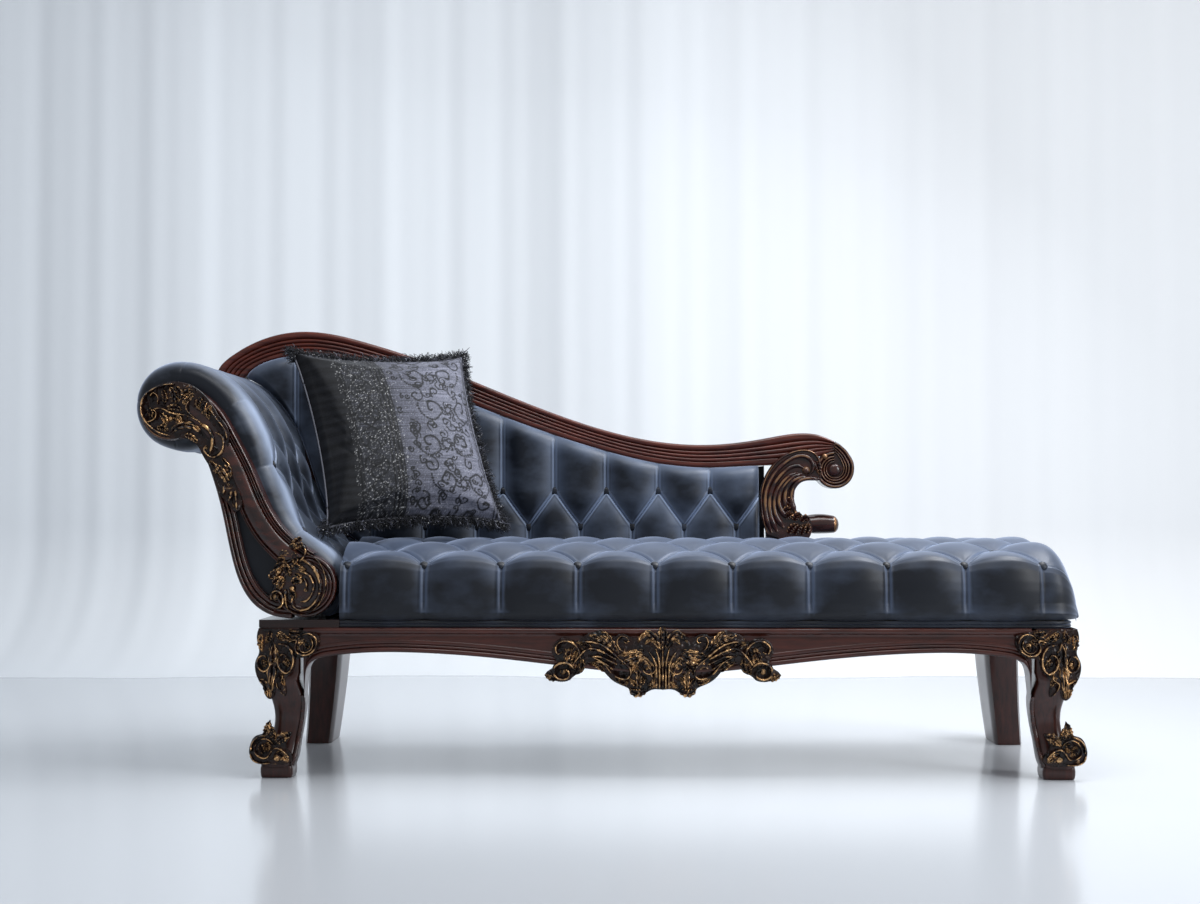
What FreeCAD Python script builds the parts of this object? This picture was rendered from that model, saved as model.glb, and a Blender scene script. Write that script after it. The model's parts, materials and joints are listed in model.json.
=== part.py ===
import FreeCAD, Part
import math
import os

os.makedirs("parts", exist_ok=True)
V = FreeCAD.Vector

# Chaise longue with a rolled head end, a sweeping crest rail and a deep buttoned seat.
# X runs along the seat from the head end to the foot end, -Y is the front, +Z is up.
# The origin is under the middle of the piece, on the floor. Lengths are in millimetres.

# General clearances
fit_gap = 0.3
joint_gap = 0.2
cloth_gap = 0.4
flat_limit = 0.0000001
curve_run = 20.0

# Seat frame
leg_spacing_x = 1495.0
frame_centre_x = 123.0
front_face_y = -320.0
rear_face_y = 235.0
rail_top_z = 290.0
leg_block = 80.0
block_height = 85.0
rail_thickness = 45.0
rear_rail_height = 70.0
end_rail_height = 72.0
end_rail_arch = 16.0
tenon_length = 32.0
tenon_height = 34.0
tenon_thickness = 15.0
cross_rail_width = 55.0
cross_rail_height = 32.0
cross_rail_count = 4
brace_width = 58.0
brace_height = 40.0
dust_cover_thickness = 1.5
apron_height = 90.0
apron_bead_height = 13.0
apron_bead_proud = 5.0

# Cabriole front legs: height, outward shift, forward shift, width and depth of each section
leg_foot_height = 20.0
leg_foot_width = 62.0
leg_foot_round_shares = ((0.0, 0.92), (0.2, 1.0), (0.8, 1.0), (1.0, 0.94))
leg_foot_corner_share = 0.10
leg_height_shares = (1.0, 0.90, 0.72, 0.50, 0.27, 0.10, 0.0)
leg_outward_shares = (0.0, 0.03, -0.16, -0.17, -0.08, 0.05, 0.08)
leg_forward_shares = (0.0, 0.05, 0.00, -0.11, -0.03, 0.09, 0.07)
leg_width_shares = (1.0, 1.01, 0.84, 0.72, 0.74, 0.90, 0.80)
leg_corner_share = 0.24
leg_steps = 15

# Sabre rear legs
rear_foot_width = 42.0
rear_foot_depth = 50.0
rear_foot_back = 116.5
rear_foot_out = 14.0
sabre_height_shares = (1.0, 0.66, 0.33, 0.0)
sabre_sweep_shares = (0.0, 0.20, 0.54, 1.0)
sabre_steps = 7

# Webbing, deck and stuffing
web_width = 52.0
web_thickness = 2.0
web_cross_count = 13
web_long_count = 5
web_bearing = 24.0
deck_thickness = 2.0
welt_radius = 3.3
welt_inset = 4.4
welt_corner = 42.0
welt_sides = 8
welt_corner_steps = 5

# Buttoned seat
seat_pitch = 149.5
seat_first_pleat = 13.5
seat_row = 100.0
seat_crown = 31.0
seat_front_y = -334.0
seat_tuft_depth = 19.0
seat_end_overhang = 14.2
seat_roll = 26.0
seat_side_height = 126.0
back_front_y = 136.0

# Head end arm with its rolled top
arm_overhang = 261.0
arm_width = 406.0
arm_height = 523.0
arm_base_height = 15.0
arm_tuft_depth = 15.0
arm_border = 38.0
arm_roll_inset = 20.0
arm_columns = 14
facing_thickness = 34.0
facing_back_y = -288.0
volute_radius = 54.0
rosette_radius = 66.0
rosette_across_share = 0.863
rosette_up_share = 0.155
disc_proud = 7.0
inset_depth = 12.0
rear_board_front_y = 175.0
slat_share = 0.72
slat_thickness = 18.0
slat_first_count = 5
slat_count = 7

# Crest rail and its scroll ends
crest_length = 1412.0
crest_rise_share = 0.6616
crest_low_z = 563.0
crest_thickness = 60.0
crest_reed_point_count = 14
back_panel_skip_count = 2
back_panel_point_count = 13
halving_count = 30
crest_boss_proud = 6.0
crest_eye_radius = 15.0
crest_eye_proud = 5.0
scroll_boss_radius = 39.0
end_scroll_width = 176.0
end_scroll_height = 149.0
end_scroll_front_inset = 3.0
crest_end_share = 0.148
crest_dip_share = 0.133
end_scroll_share = 0.862
end_post_width = 66.0
end_post_inset = 16.0
end_post_depth = 32.0
back_post_width = 58.0
back_post_thickness = 23.0
back_pitch = 113.5
back_row = 78.0
back_first_pleat = 108.0
back_button_clear = 4.0
back_edge = 48.0
back_left_share = 0.455
arm_seam_gap = 1.5
back_tuft_depth = 18.0
back_panel_thickness = 2.5

# Shape of the sewn pleats between buttons
pleat_lift_share = 0.28
puff_share = 0.6
lattice_period = 2

# Buttons
button_radius = 9.5
button_height = 6.5
button_dome_share = 0.55
button_sides = 7

# Loose scatter cushion, leaning into the corner of the arm and the back
cushion_size = 412.0
cushion_thickness = 128.0
cushion_edge = 12.0
cushion_pull = 15.0
cushion_yaw = 32.0
cushion_tilt = 25.0
cushion_roll = 1.5
cushion_arm_offset = 78.1
cushion_centre_y = -52.0
cushion_sink = 5.1
cushion_cells = 10
cushion_crown_share = 0.55
fringe_width = 17.0
fringe_thickness = 7.0

# Carvings
cartouche_width = 450.0
cartouche_height = 130.0
cartouche_depth = 15.0
cartouche_offset = -7.0
cartouche_drop = 2.0
knee_width = 112.0
knee_height = 128.0
knee_overlap = 5.0
foot_carving_width = 68.0
foot_carving_height = 58.0
foot_carving_inset = 22.0
carving_boss_sides = 8
carving_boss_top_share = 0.55
knee_depth = 14.0
carving_share = 0.90
boss_carving_depth = 8.0

# Planes and lines worked out from the sizes above
crest_rise = arm_height * crest_rise_share
left_block_x = frame_centre_x - leg_spacing_x / 2 - leg_block / 2
right_block_x = frame_centre_x + leg_spacing_x / 2 - leg_block / 2
left_inner_x = left_block_x + leg_block
right_outer_x = right_block_x + leg_block
block_bottom_z = rail_top_z - block_height
front_block_y = front_face_y + leg_block
rear_block_y = rear_face_y - leg_block
front_inner_y = front_face_y + rail_thickness
rear_inner_y = rear_face_y - rail_thickness
arm_left_x = left_block_x - arm_overhang
rosette_x = arm_left_x + arm_width * rosette_across_share
rosette_z = rail_top_z + arm_height * rosette_up_share
arm_right_x = rosette_x + rosette_radius
seat_left_x = arm_right_x + cloth_gap
cushion_centre_x = arm_right_x + cushion_arm_offset
arm_base_z = rail_top_z + arm_base_height
crest_left_x = arm_left_x + rail_thickness
end_scroll_x = crest_left_x + crest_length * end_scroll_share
crest_rear_y = rear_face_y
crest_front_y = rear_face_y - crest_thickness
seat_right_x = right_outer_x + seat_end_overhang
seat_bottom_z = rail_top_z + 4 * welt_radius + cloth_gap
deck_z = rail_top_z + 2 * web_thickness + 2 * fit_gap
back_pad_rear_y = rear_face_y - back_post_thickness - fit_gap
back_button_z = crest_low_z + crest_rise * crest_dip_share - back_edge - back_button_clear


def box(x0, x1, y0, y1, z0, z1):
    """A block between two corners."""
    return Part.makeBox(x1 - x0, y1 - y0, z1 - z0, V(x0, y0, z0))


def spline(points):
    """A smooth curve through points."""
    curve = Part.BSplineCurve()
    curve.interpolate(points)
    return curve


def polygon(points):
    """A closed wire of straight edges."""
    return Part.makePolygon(list(points) + [points[0]])


def slab(wire, direction):
    """A solid made by pushing a flat outline along a direction."""
    return Part.Face(wire).extrude(direction)


def table_points(table, x0, width, z0, height, y):
    """Outline points from pairs of shares of a width and a height."""
    return [V(x0 + a * width, y, z0 + b * height) for a, b in table]


def along(points, count):
    """Evenly spaced points on the smooth curve through a table of points."""
    return spline(points).toShape().discretize(Number=count + 1)


def curve_steps(points):
    """How many short straight runs a curve is cut into."""
    return max(3, round(spline(points).length() / curve_run))


def band(upper, lower, y0, y1):
    """A board seen from the front, bounded by two curves and two straight ends."""
    top = along(upper, curve_steps(upper))
    under = along(lower, curve_steps(lower))
    return slab(polygon(top + list(reversed(under))), V(0, y1 - y0, 0))


def reed(upper, lower, first_share, last_share, proud):
    """A raised moulding along a board's front, between two shares of the way from edge to edge."""
    count = curve_steps(upper)
    pairs = list(zip(along(upper, count), along(lower, count)))
    top = [a + (b - a) * first_share for a, b in pairs]
    under = [a + (b - a) * last_share for a, b in pairs]
    return slab(polygon(top + list(reversed(under))), V(0, -proud, 0))


def disc(x, z, radius, y0, y1):
    """A round boss whose axis runs front to back."""
    return Part.makeCylinder(radius, y1 - y0, V(x, y0, z), V(0, 1, 0))


def flat_quad(a, b, c, d):
    """Whether four points lie in one plane, or nearly so."""
    normal = (b - a).cross(c - a)
    if normal.Length == 0:
        return False
    return abs(normal.dot(d - a)) < normal.Length * flat_limit


def facets(a, b, c, d, along_ac):
    """A loft's patch: one flat face, or two triangles creased along a diagonal."""
    if flat_quad(a, b, c, d):
        return [Part.Face(polygon([a, b, c, d]))]
    halves = ((a, b, c), (a, c, d)) if along_ac else ((a, b, d), (b, c, d))
    return [Part.Face(polygon(half)) for half in halves]


def line_loft(rings, crease=lambda i, j: True):
    """A ruled loft through rings of straight edges, with flat facets and chosen creases."""
    faces = [Part.Face(polygon(rings[0])), Part.Face(polygon(rings[-1]))]
    count = len(rings[0])
    for i in range(len(rings) - 1):
        for j in range(count):
            k = (j + 1) % count
            faces.extend(facets(rings[i][j], rings[i + 1][j], rings[i + 1][k], rings[i][k], crease(i, j)))
    shell = Part.makeShell(faces)
    shell.sewShape()
    solid = Part.makeSolid(Part.Shell(shell.Faces))
    if solid.Volume < 0:
        solid.reverse()
    return solid


def eased(values, steps):
    """Evenly spaced values on a smooth curve through a row of values."""
    curve = spline([V(i, value, 0) for i, value in enumerate(values)])
    first = curve.FirstParameter
    span = curve.LastParameter - first
    return [curve.value(first + span * i / steps).y for i in range(steps + 1)]


def octagon(centre, side_x, side_y, corner_share):
    """A square section with cut corners, level with the floor."""
    a = side_x / 2
    b = side_y / 2
    c = a * (1 - 2 * corner_share)
    d = b * (1 - 2 * corner_share)
    shape = [(c, -b), (a, -d), (a, d), (c, b), (-c, b), (-a, d), (-a, -d), (-c, -b)]
    return [centre + V(x, y, 0) for x, y in shape]


def export(shape, name):
    """Write one sub-part."""
    shape.exportStep("parts/" + name + ".step")
    box_found = shape.BoundBox
    print(name, len(shape.Solids), "solids", round(box_found.XLength), round(box_found.YLength),
          round(box_found.ZLength))


def front_leg(block_x, outward):
    """A cabriole leg with its square top block and base block."""
    centre_x = block_x + leg_block / 2
    centre_y = front_face_y + leg_block / 2
    span = block_bottom_z - leg_foot_height
    rings = []
    rows = zip(eased(leg_height_shares, leg_steps), eased(leg_outward_shares, leg_steps),
               eased(leg_forward_shares, leg_steps), eased(leg_width_shares, leg_steps))
    for height, out, forward, width in rows:
        middle = V(centre_x + outward * out * leg_block, centre_y - forward * leg_block,
                   leg_foot_height + height * span)
        rings.append(octagon(middle, width * leg_block, width * leg_block, leg_corner_share))
    cabriole = line_loft(rings)
    block = box(block_x, block_x + leg_block, front_face_y, front_block_y, block_bottom_z, rail_top_z)
    foot_x = centre_x + outward * leg_outward_shares[-1] * leg_block
    foot_y = centre_y - leg_forward_shares[-1] * leg_block
    foot_rings = []
    for rise, wide in leg_foot_round_shares:
        side = wide * leg_foot_width
        foot_rings.append(octagon(V(foot_x, foot_y, rise * leg_foot_height), side, side, leg_foot_corner_share))
    foot = line_loft(foot_rings)
    leg = cabriole.fuse([block, foot])
    rail_mortise = mortise_x(block_x, outward, front_face_y + rail_thickness / 2)
    end_mortise = mortise_y(block_x, outward, front_block_y, -1)
    return leg.cut([rail_mortise, end_mortise])


def rear_leg(block_x, outward):
    """A sabre leg that sweeps back from its square top block."""
    centre_x = block_x + leg_block / 2
    centre_y = rear_face_y - leg_block / 2
    rings = []
    rows = zip(eased(sabre_height_shares, sabre_steps), eased(sabre_sweep_shares, sabre_steps))
    for height_share, sweep in rows:
        side_x = leg_block + (rear_foot_width - leg_block) * (1 - height_share)
        side_y = leg_block + (rear_foot_depth - leg_block) * (1 - height_share)
        middle = V(centre_x + outward * sweep * rear_foot_out, centre_y + sweep * rear_foot_back,
                   height_share * block_bottom_z)
        corners = [(-1, -1), (1, -1), (1, 1), (-1, 1)]
        rings.append([middle + V(a * side_x / 2, b * side_y / 2, 0) for a, b in corners])
    sabre = line_loft(rings)
    block = box(block_x, block_x + leg_block, rear_block_y, rear_face_y, block_bottom_z, rail_top_z)
    leg = sabre.fuse(block)
    rail_mortise = mortise_x(block_x, outward, rear_face_y - rail_thickness / 2)
    end_mortise = mortise_y(block_x, outward, rear_block_y, 1)
    return leg.cut([rail_mortise, end_mortise])


def tenon_top_z():
    """The shoulder above every tenon leaves solid wood at the top of the block."""
    return rail_top_z - tenon_thickness


def mortise_x(block_x, outward, middle_y):
    """The slot in a leg block for a long rail's tenon."""
    grow = joint_gap
    inner = block_x + leg_block if outward < 0 else block_x
    x0 = inner - tenon_length - grow if outward < 0 else inner
    half = tenon_thickness / 2 + grow
    z1 = tenon_top_z() + grow
    return box(x0, x0 + tenon_length + grow, middle_y - half, middle_y + half,
               z1 - tenon_height - 2 * grow, z1)


def end_tenon_x(block_x, outward):
    """The middle of an end rail, which lies flush with the outer side of its blocks."""
    if outward < 0:
        return block_x + tenon_thickness + tenon_thickness / 3
    return block_x + leg_block - tenon_thickness - tenon_thickness / 3


def mortise_y(block_x, outward, face_y, side):
    """The slot in a leg block for an end rail's tenon."""
    grow = joint_gap
    middle = end_tenon_x(block_x, outward)
    half = tenon_thickness / 2 + grow
    y0 = face_y - tenon_length - grow if side < 0 else face_y
    z1 = tenon_top_z() + grow
    return box(middle - half, middle + half, y0, y0 + tenon_length + grow,
               z1 - tenon_height - 2 * grow, z1)


# The apron's lower edge, as shares of its length and of its height above the lowest line
apron_edge_shares = ((0.0, 0.0), (0.012, 0.20), (0.045, 0.40), (0.10, 0.47), (0.18, 0.45), (0.26, 0.36),
                     (0.33, 0.24), (0.42, 0.08), (0.50, 0.0))


def apron_edge(lift):
    """The serpentine lower edge, mirrored about the middle of the rail."""
    x0 = left_inner_x
    length = right_block_x - left_inner_x
    low = rail_top_z - apron_height
    left = [V(x0 + a * length, front_face_y, low + b * apron_height + lift) for a, b in apron_edge_shares]
    right = [V(x0 + (1 - a) * length, front_face_y, low + b * apron_height + lift)
             for a, b in reversed(apron_edge_shares[:-1])]
    return left + right


def front_rail():
    """The show-wood apron with its moulded lower edge and a tenon at each end."""
    edge = apron_edge(0)
    top = [V(edge[0].x, front_face_y, rail_top_z), V(edge[-1].x, front_face_y, rail_top_z)]
    curve = along(edge, curve_steps(edge))
    rail = slab(polygon(curve + [top[1], top[0]]), V(0, rail_thickness, 0))
    bead = band(apron_edge(apron_bead_height), edge, front_face_y - apron_bead_proud, front_face_y)
    half = tenon_thickness / 2
    middle = front_face_y + rail_thickness / 2
    z1 = tenon_top_z()
    tenons = [box(x, x + tenon_length, middle - half, middle + half, z1 - tenon_height, z1)
              for x in (left_inner_x - tenon_length, right_block_x)]
    return rail.fuse([bead] + tenons).removeSplitter()


def rear_rail():
    """The plain back seat rail with a tenon at each end."""
    bottom = rail_top_z - rear_rail_height
    rail = box(left_inner_x, right_block_x, rear_inner_y, rear_face_y, bottom, rail_top_z)
    half = tenon_thickness / 2
    middle = rear_face_y - rail_thickness / 2
    z1 = tenon_top_z()
    tenons = [box(x, x + tenon_length, middle - half, middle + half, z1 - tenon_height, z1)
              for x in (left_inner_x - tenon_length, right_block_x)]
    return rail.fuse(tenons).removeSplitter()


def end_rail(block_x, outward):
    """A short rail between front and rear legs, arched underneath."""
    half = rail_thickness / 2
    outer = block_x if outward < 0 else block_x + leg_block
    x0 = outer if outward < 0 else outer - rail_thickness
    bottom = rail_top_z - end_rail_height
    middle_y = (front_block_y + rear_block_y) / 2
    corners = [V(x0, front_block_y, bottom), V(x0, front_block_y, rail_top_z),
               V(x0, rear_block_y, rail_top_z), V(x0, rear_block_y, bottom)]
    arch = Part.Arc(corners[3], V(x0, middle_y, bottom + end_rail_arch), corners[0]).toShape()
    wire = Part.Wire([Part.makeLine(corners[0], corners[1]), Part.makeLine(corners[1], corners[2]),
                      Part.makeLine(corners[2], corners[3]), arch])
    rail = slab(wire, V(2 * half, 0, 0))
    middle = end_tenon_x(block_x, outward)
    t = tenon_thickness / 2
    z1 = tenon_top_z()
    tenons = [box(middle - t, middle + t, y, y + tenon_length, z1 - tenon_height, z1)
              for y in (front_block_y - tenon_length, rear_block_y)]
    return rail.fuse(tenons).removeSplitter()


def brace_reach():
    """How far a corner brace runs along a rail from the inside corner of the frame."""
    return 2 * (leg_block - rail_thickness) + joint_gap + brace_width


def cross_rail_places():
    """The cross rails are spread evenly between the corner braces."""
    clear = rail_thickness + brace_reach() + joint_gap + cross_rail_width / 2
    first = left_block_x + clear
    last = right_outer_x - clear
    step = (last - first) / (cross_rail_count - 1)
    return [first + i * step for i in range(cross_rail_count)]


def cross_rails():
    """Stiffening rails between the apron and the back seat rail."""
    solids = []
    for x in cross_rail_places():
        half = cross_rail_width / 2
        solids.append(box(x - half, x + half, front_inner_y, rear_inner_y,
                          rail_top_z - cross_rail_height, rail_top_z))
    return Part.makeCompound(solids)


def corner_brace(toward_x, toward_y, face_x, face_y):
    """One block screwed across an inside corner, clear of the leg block's corner."""
    far = brace_reach()
    reach = far - brace_width
    base_z = rail_top_z - brace_height
    points = [V(face_x, face_y + toward_y * reach, base_z), V(face_x, face_y + toward_y * far, base_z),
              V(face_x + toward_x * far, face_y, base_z), V(face_x + toward_x * reach, face_y, base_z)]
    drop = V(0, 0, brace_height - tenon_thickness)
    return slab(polygon(points), drop)


def corner_braces():
    """The four blocks that hold the seat frame square."""
    left_face = left_block_x + rail_thickness
    right_face = right_outer_x - rail_thickness
    places = [(1, 1, left_face, front_inner_y), (-1, 1, right_face, front_inner_y),
              (1, -1, left_face, rear_inner_y), (-1, -1, right_face, rear_inner_y)]
    return Part.makeCompound([corner_brace(*place) for place in places])


def webbing_cross():
    """Jute straps from the apron to the back seat rail."""
    x0 = seat_left_x + web_width / 2
    x1 = right_block_x - web_width
    step = (x1 - x0) / (web_cross_count - 1)
    solids = []
    for i in range(web_cross_count):
        x = x0 + i * step
        solids.append(box(x - web_width / 2, x + web_width / 2, front_inner_y - web_bearing,
                          rear_inner_y + web_bearing / 2, rail_top_z, rail_top_z + web_thickness))
    return Part.makeCompound(solids)


def webbing_long():
    """Jute straps along the seat, laid over the short ones."""
    y0 = front_inner_y + web_width
    y1 = rear_inner_y - web_width
    step = (y1 - y0) / (web_long_count - 1)
    z0 = rail_top_z + web_thickness + fit_gap
    solids = []
    for i in range(web_long_count):
        y = y0 + i * step
        solids.append(box(seat_left_x, right_outer_x - rail_thickness + web_bearing,
                          y - web_width / 2, y + web_width / 2, z0, z0 + web_thickness))
    return Part.makeCompound(solids)


def deck_outline(inset, z0, z1):
    """A sheet under the seat that leaves room for the back frame and the end post."""
    x1 = right_outer_x - inset
    rear = back_front_y - cloth_gap
    notch_x = end_post_x1() + fit_gap
    wide = box(seat_left_x, x1, front_face_y + inset, rear, z0, z1)
    wing = box(notch_x, x1, rear, rear_face_y - inset, z0, z1)
    step = box(end_scroll_x, notch_x, rear, rear_face_y - end_post_depth - cloth_gap, z0, z1)
    sheet = wide.fuse([wing, step]).removeSplitter()
    edges = [e for e in sheet.Edges
             if abs(e.tangentAt(e.FirstParameter).z) > slat_share and e.CenterOfMass.x > x1 - fit_gap]
    return sheet.makeFillet(welt_corner - inset / 2, edges)


def seat_deck():
    """The hessian sheet that lies on the webbing."""
    return deck_outline(2 * welt_inset, deck_z, deck_z + deck_thickness)


def seat_stuffing():
    """The flat first stuffing between the hessian and the buttoned top."""
    return deck_outline(3 * welt_inset, deck_z + deck_thickness + fit_gap, seat_bottom_z - cloth_gap)


def dust_cover():
    """The thin cloth under the braces that closes the seat frame from below."""
    z1 = rail_top_z - brace_height - fit_gap
    z0 = z1 - dust_cover_thickness
    x0 = left_block_x + rail_thickness + fit_gap
    x1 = right_outer_x - rail_thickness - fit_gap
    y0 = front_inner_y + fit_gap
    y1 = rear_inner_y - fit_gap
    cover = box(x0, x1, y0, y1, z0, z1)
    inset_x = leg_block - rail_thickness
    corners = [box(a, a + inset_x, c, c + inset_x, z0, z1)
               for a in (x0, x1 - inset_x) for c in (y0, y1 - inset_x)]
    return cover.cut(corners)


# Outlines of the head end, as shares of the arm's width and height
facing_inner_shares = ((0.317, 0.893), (0.366, 0.868), (0.450, 0.807), (0.526, 0.711), (0.607, 0.589),
                       (0.681, 0.459), (0.792, 0.340), (0.910, 0.275))
facing_outer_shares = ((0.309, 0.723), (0.356, 0.686), (0.432, 0.618), (0.496, 0.535), (0.550, 0.430),
                       (0.624, 0.327), (0.728, 0.241))
stile_outer_shares = ((0.373, 0.654), (0.450, 0.474), (0.516, 0.249), (0.568, 0.140), (0.634, 0.076),
                      (0.733, 0.040))
stile_inner_shares = ((0.437, 0.602), (0.516, 0.463), (0.580, 0.256), (0.629, 0.168), (0.679, 0.122),
                      (0.748, 0.092))
volute_share = (0.208, 0.797)
facing_reed_shares = ((0.05, 0.22, 0.6), (0.38, 0.74, 0.85))
stile_reed_shares = ((0.10, 0.42, 0.7),)
skin_shares = ((0.950, 0.034), (1.018, 0.119), (1.008, 0.226), (0.903, 0.317), (0.792, 0.402),
               (0.728, 0.507), (0.681, 0.616), (0.627, 0.723), (0.558, 0.826), (0.462, 0.916),
               (0.344, 0.977), (0.220, 0.998), (0.087, 0.964), (0.011, 0.880), (0.009, 0.784),
               (0.080, 0.698), (0.206, 0.656))
core_shares = ((0.220, 0.723), (0.122, 0.765), (0.102, 0.832), (0.156, 0.895), (0.255, 0.902),
               (0.334, 0.864), (0.420, 0.784), (0.501, 0.669), (0.565, 0.535), (0.634, 0.402),
               (0.748, 0.310), (0.836, 0.229), (0.851, 0.134), (0.812, 0.034))


def arm_table(table, y):
    """Points of an arm outline at one depth."""
    return table_points(table, arm_left_x, arm_width, rail_top_z, arm_height, y)


def arm_point(share, y):
    """One point of the arm from its pair of shares."""
    return arm_table((share,), y)[0]


def arm_facing():
    """The show-wood S scroll on the front of the arm, with a boss at each end."""
    front = facing_back_y - facing_thickness
    inner = arm_table(facing_inner_shares, front)
    outer = arm_table(facing_outer_shares, front)
    body = band(inner, outer, front, facing_back_y)
    body = body.fuse([reed(inner, outer, first, last, proud_share * disc_proud)
                      for first, last, proud_share in facing_reed_shares])
    volute = arm_point(volute_share, front)
    bosses = [disc(volute.x, volute.z, volute_radius, front - disc_proud, facing_back_y),
              disc(rosette_x, rosette_z, rosette_radius, front - disc_proud, facing_back_y)]
    return body.fuse(bosses).removeSplitter()


def arm_stile():
    """The outer show-wood stile that carries the rolled end."""
    front = facing_back_y - facing_thickness
    outer = arm_table(stile_outer_shares, front)
    inner = arm_table(stile_inner_shares, front)
    body = band(inner, outer, front, facing_back_y)
    body = body.fuse([reed(outer, inner, first, last, proud_share * disc_proud)
                      for first, last, proud_share in stile_reed_shares])
    base = box(arm_left_x, arm_right_x, front - disc_proud, facing_back_y, 0, arm_base_z)
    return body.cut([arm_facing(), base])


def arm_inset():
    """The velvet panel between the stile and the S scroll."""
    front = facing_back_y - facing_thickness + inset_depth
    inner = arm_table(facing_outer_shares, front)
    outer = arm_table(stile_inner_shares, front)
    body = band(inner, outer, front, facing_back_y)
    return body.cut([arm_facing(), arm_stile()])


def arm_base():
    """The board under the arm, lying on the leg block and the end rail."""
    return box(left_block_x, arm_right_x, front_face_y, rear_face_y, rail_top_z, arm_base_z)


skin_step_count = 26
skin_turn_count = 3


def skin_points(y):
    """The padded surface of the arm, from the seat up and round the roll."""
    return along(arm_table(skin_shares, y), skin_step_count)


def outward_normals(points):
    """The direction away from the padding at each point of the skin."""
    normals = []
    for i in range(len(points)):
        before = points[max(i - 1, 0)]
        after = points[min(i + 1, len(points) - 1)]
        run = after - before
        normal = V(run.z, 0, -run.x)
        normal.normalize()
        normals.append(normal)
    return normals


def row_distance(value):
    """How far a lattice value is from the nearest even number, from 0 to 1."""
    return abs(value - lattice_period * round(value / lattice_period))


def swell(u, v):
    """Height of the padding in a diamond lattice: 0 at a button, 1 in the middle of a diamond."""
    p = math.sin(math.pi / 2 * row_distance(u + v))
    q = math.sin(math.pi / 2 * row_distance(u - v))
    ridge = pleat_lift_share * max(p, q)
    return ridge + (1 - ridge) * (p * q) ** puff_share


def is_button(u, v):
    """Buttons lie where the two sets of pleats cross."""
    return row_distance(u + v) < puff_share / 10 and row_distance(u - v) < puff_share / 10


def button_ring(centre, u, v, radius):
    """A regular outline for a button."""
    turn = 2 * math.pi / button_sides
    return [centre + u * (radius * math.cos(i * turn)) + v * (radius * math.sin(i * turn))
            for i in range(button_sides)]


def button(low, normal, lift):
    """A covered button that rests on the padding round its dent, with a domed top."""
    aid = V(0, 1, 0) if abs(normal.y) < abs(normal.z) + abs(normal.x) else V(0, 0, 1)
    u = aid.cross(normal)
    u.normalize()
    v = normal.cross(u)
    base = low + normal * lift
    return line_loft([button_ring(base, u, v, button_radius),
                      button_ring(base + normal * button_height, u, v, button_radius * button_dome_share)])


def seated_lift(rings, i, j, normal):
    """How far a button's rim stands above its dent, so that it rests on the padding round it."""
    low = rings[i][j]
    slope = 0
    for a, b in ((-1, -1), (-1, 0), (-1, 1), (0, -1), (0, 1), (1, -1), (1, 0), (1, 1)):
        if 0 <= i + a < len(rings):
            reach = rings[i + a][j + b] - low
            rise = reach.dot(normal)
            slope = max(slope, rise / (reach - normal * rise).Length)
    return slope * button_radius + fit_gap


def buttons_on(rings, spots):
    """A covered button in each dent of a pad."""
    return Part.makeCompound([button(rings[i][j], normal, seated_lift(rings, i, j, normal))
                              for i, j, normal in spots])


# Buttoned seat top
pleat_cells = 4
seat_row_count = 4
seat_hidden_rows = 2
seat_step = seat_pitch / pleat_cells
seat_row0_y = seat_front_y + seat_roll
seat_row0_z = seat_bottom_z + seat_side_height
seat_front_shares = ((0.62, 0.0), (0.10, 0.20), (0.0, 0.46), (0.19, 0.73))
seat_crown_shares = (0.0, 0.42, 0.72, 0.88, 0.97, 1.0, 1.0, 0.96, 0.87)
seat_rear_shares = ((0.36, 0.78), (0.71, 0.66), (0.95, 0.30), (1.0, -0.5))
seat_end_drop_shares = (0.04, 0.17, 0.40, 0.74)
seat_end_plan_shares = (0.0, 0.012, 0.05, 0.15)
seat_end_place_shares = (0.0, 0.44, 0.78, 1.0)


def end_post_x0():
    """The foot end post of the back stands a little inside its scroll."""
    return end_scroll_x + end_post_inset


def end_post_x1():
    """The far side of the foot end post."""
    return end_post_x0() + end_post_width


def seat_rear_y(x):
    """How far back the seat runs: to the back pad, to the end post, or to the rear rail."""
    if x > end_post_x1() + fit_gap + cloth_gap:
        return rear_face_y - welt_radius
    if x > end_scroll_x - cloth_gap / 2:
        return rear_face_y - end_post_depth - cloth_gap
    return back_front_y - cloth_gap


def seat_stations():
    """Places along the seat: a quarter of a pitch apart, with a step at the back and a close foot end."""
    first = seat_left_x + seat_first_pleat
    last = int((seat_right_x - first) / seat_pitch) * pleat_cells
    places = [(-1, seat_left_x)]
    places += [(i, first + i * seat_step) for i in range(last)]
    for edge in (end_scroll_x - cloth_gap, end_post_x1() + fit_gap + cloth_gap / 2):
        places += [((x - first) / seat_step, x) for x in (edge, edge + cloth_gap)]
    x0 = first + last * seat_step
    places += [(last + i, x0 + share * (seat_right_x - x0)) for i, share in enumerate(seat_end_place_shares)]
    return sorted(places, key=lambda place: place[1]), last


def seat_base(rear_y):
    """The seat's section before it is buttoned, with the row number of each point."""
    points = []
    for inward, height in seat_front_shares:
        points.append((seat_front_y + inward * seat_roll, seat_bottom_z + height * seat_side_height, 0))
    for k, share in enumerate(seat_crown_shares):
        points.append((seat_row0_y + k * seat_row / 2, seat_row0_z + share * seat_crown, k / 2))
    start_y = points[-1][0]
    for k, (back, share) in enumerate(seat_rear_shares):
        points.append((start_y + back * (rear_y - start_y), seat_row0_z + share * seat_crown,
                       seat_row_count + (k + 1) / 2))
    points.append((rear_y, seat_bottom_z, seat_row_count + len(seat_rear_shares) / 2))
    return points


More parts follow.
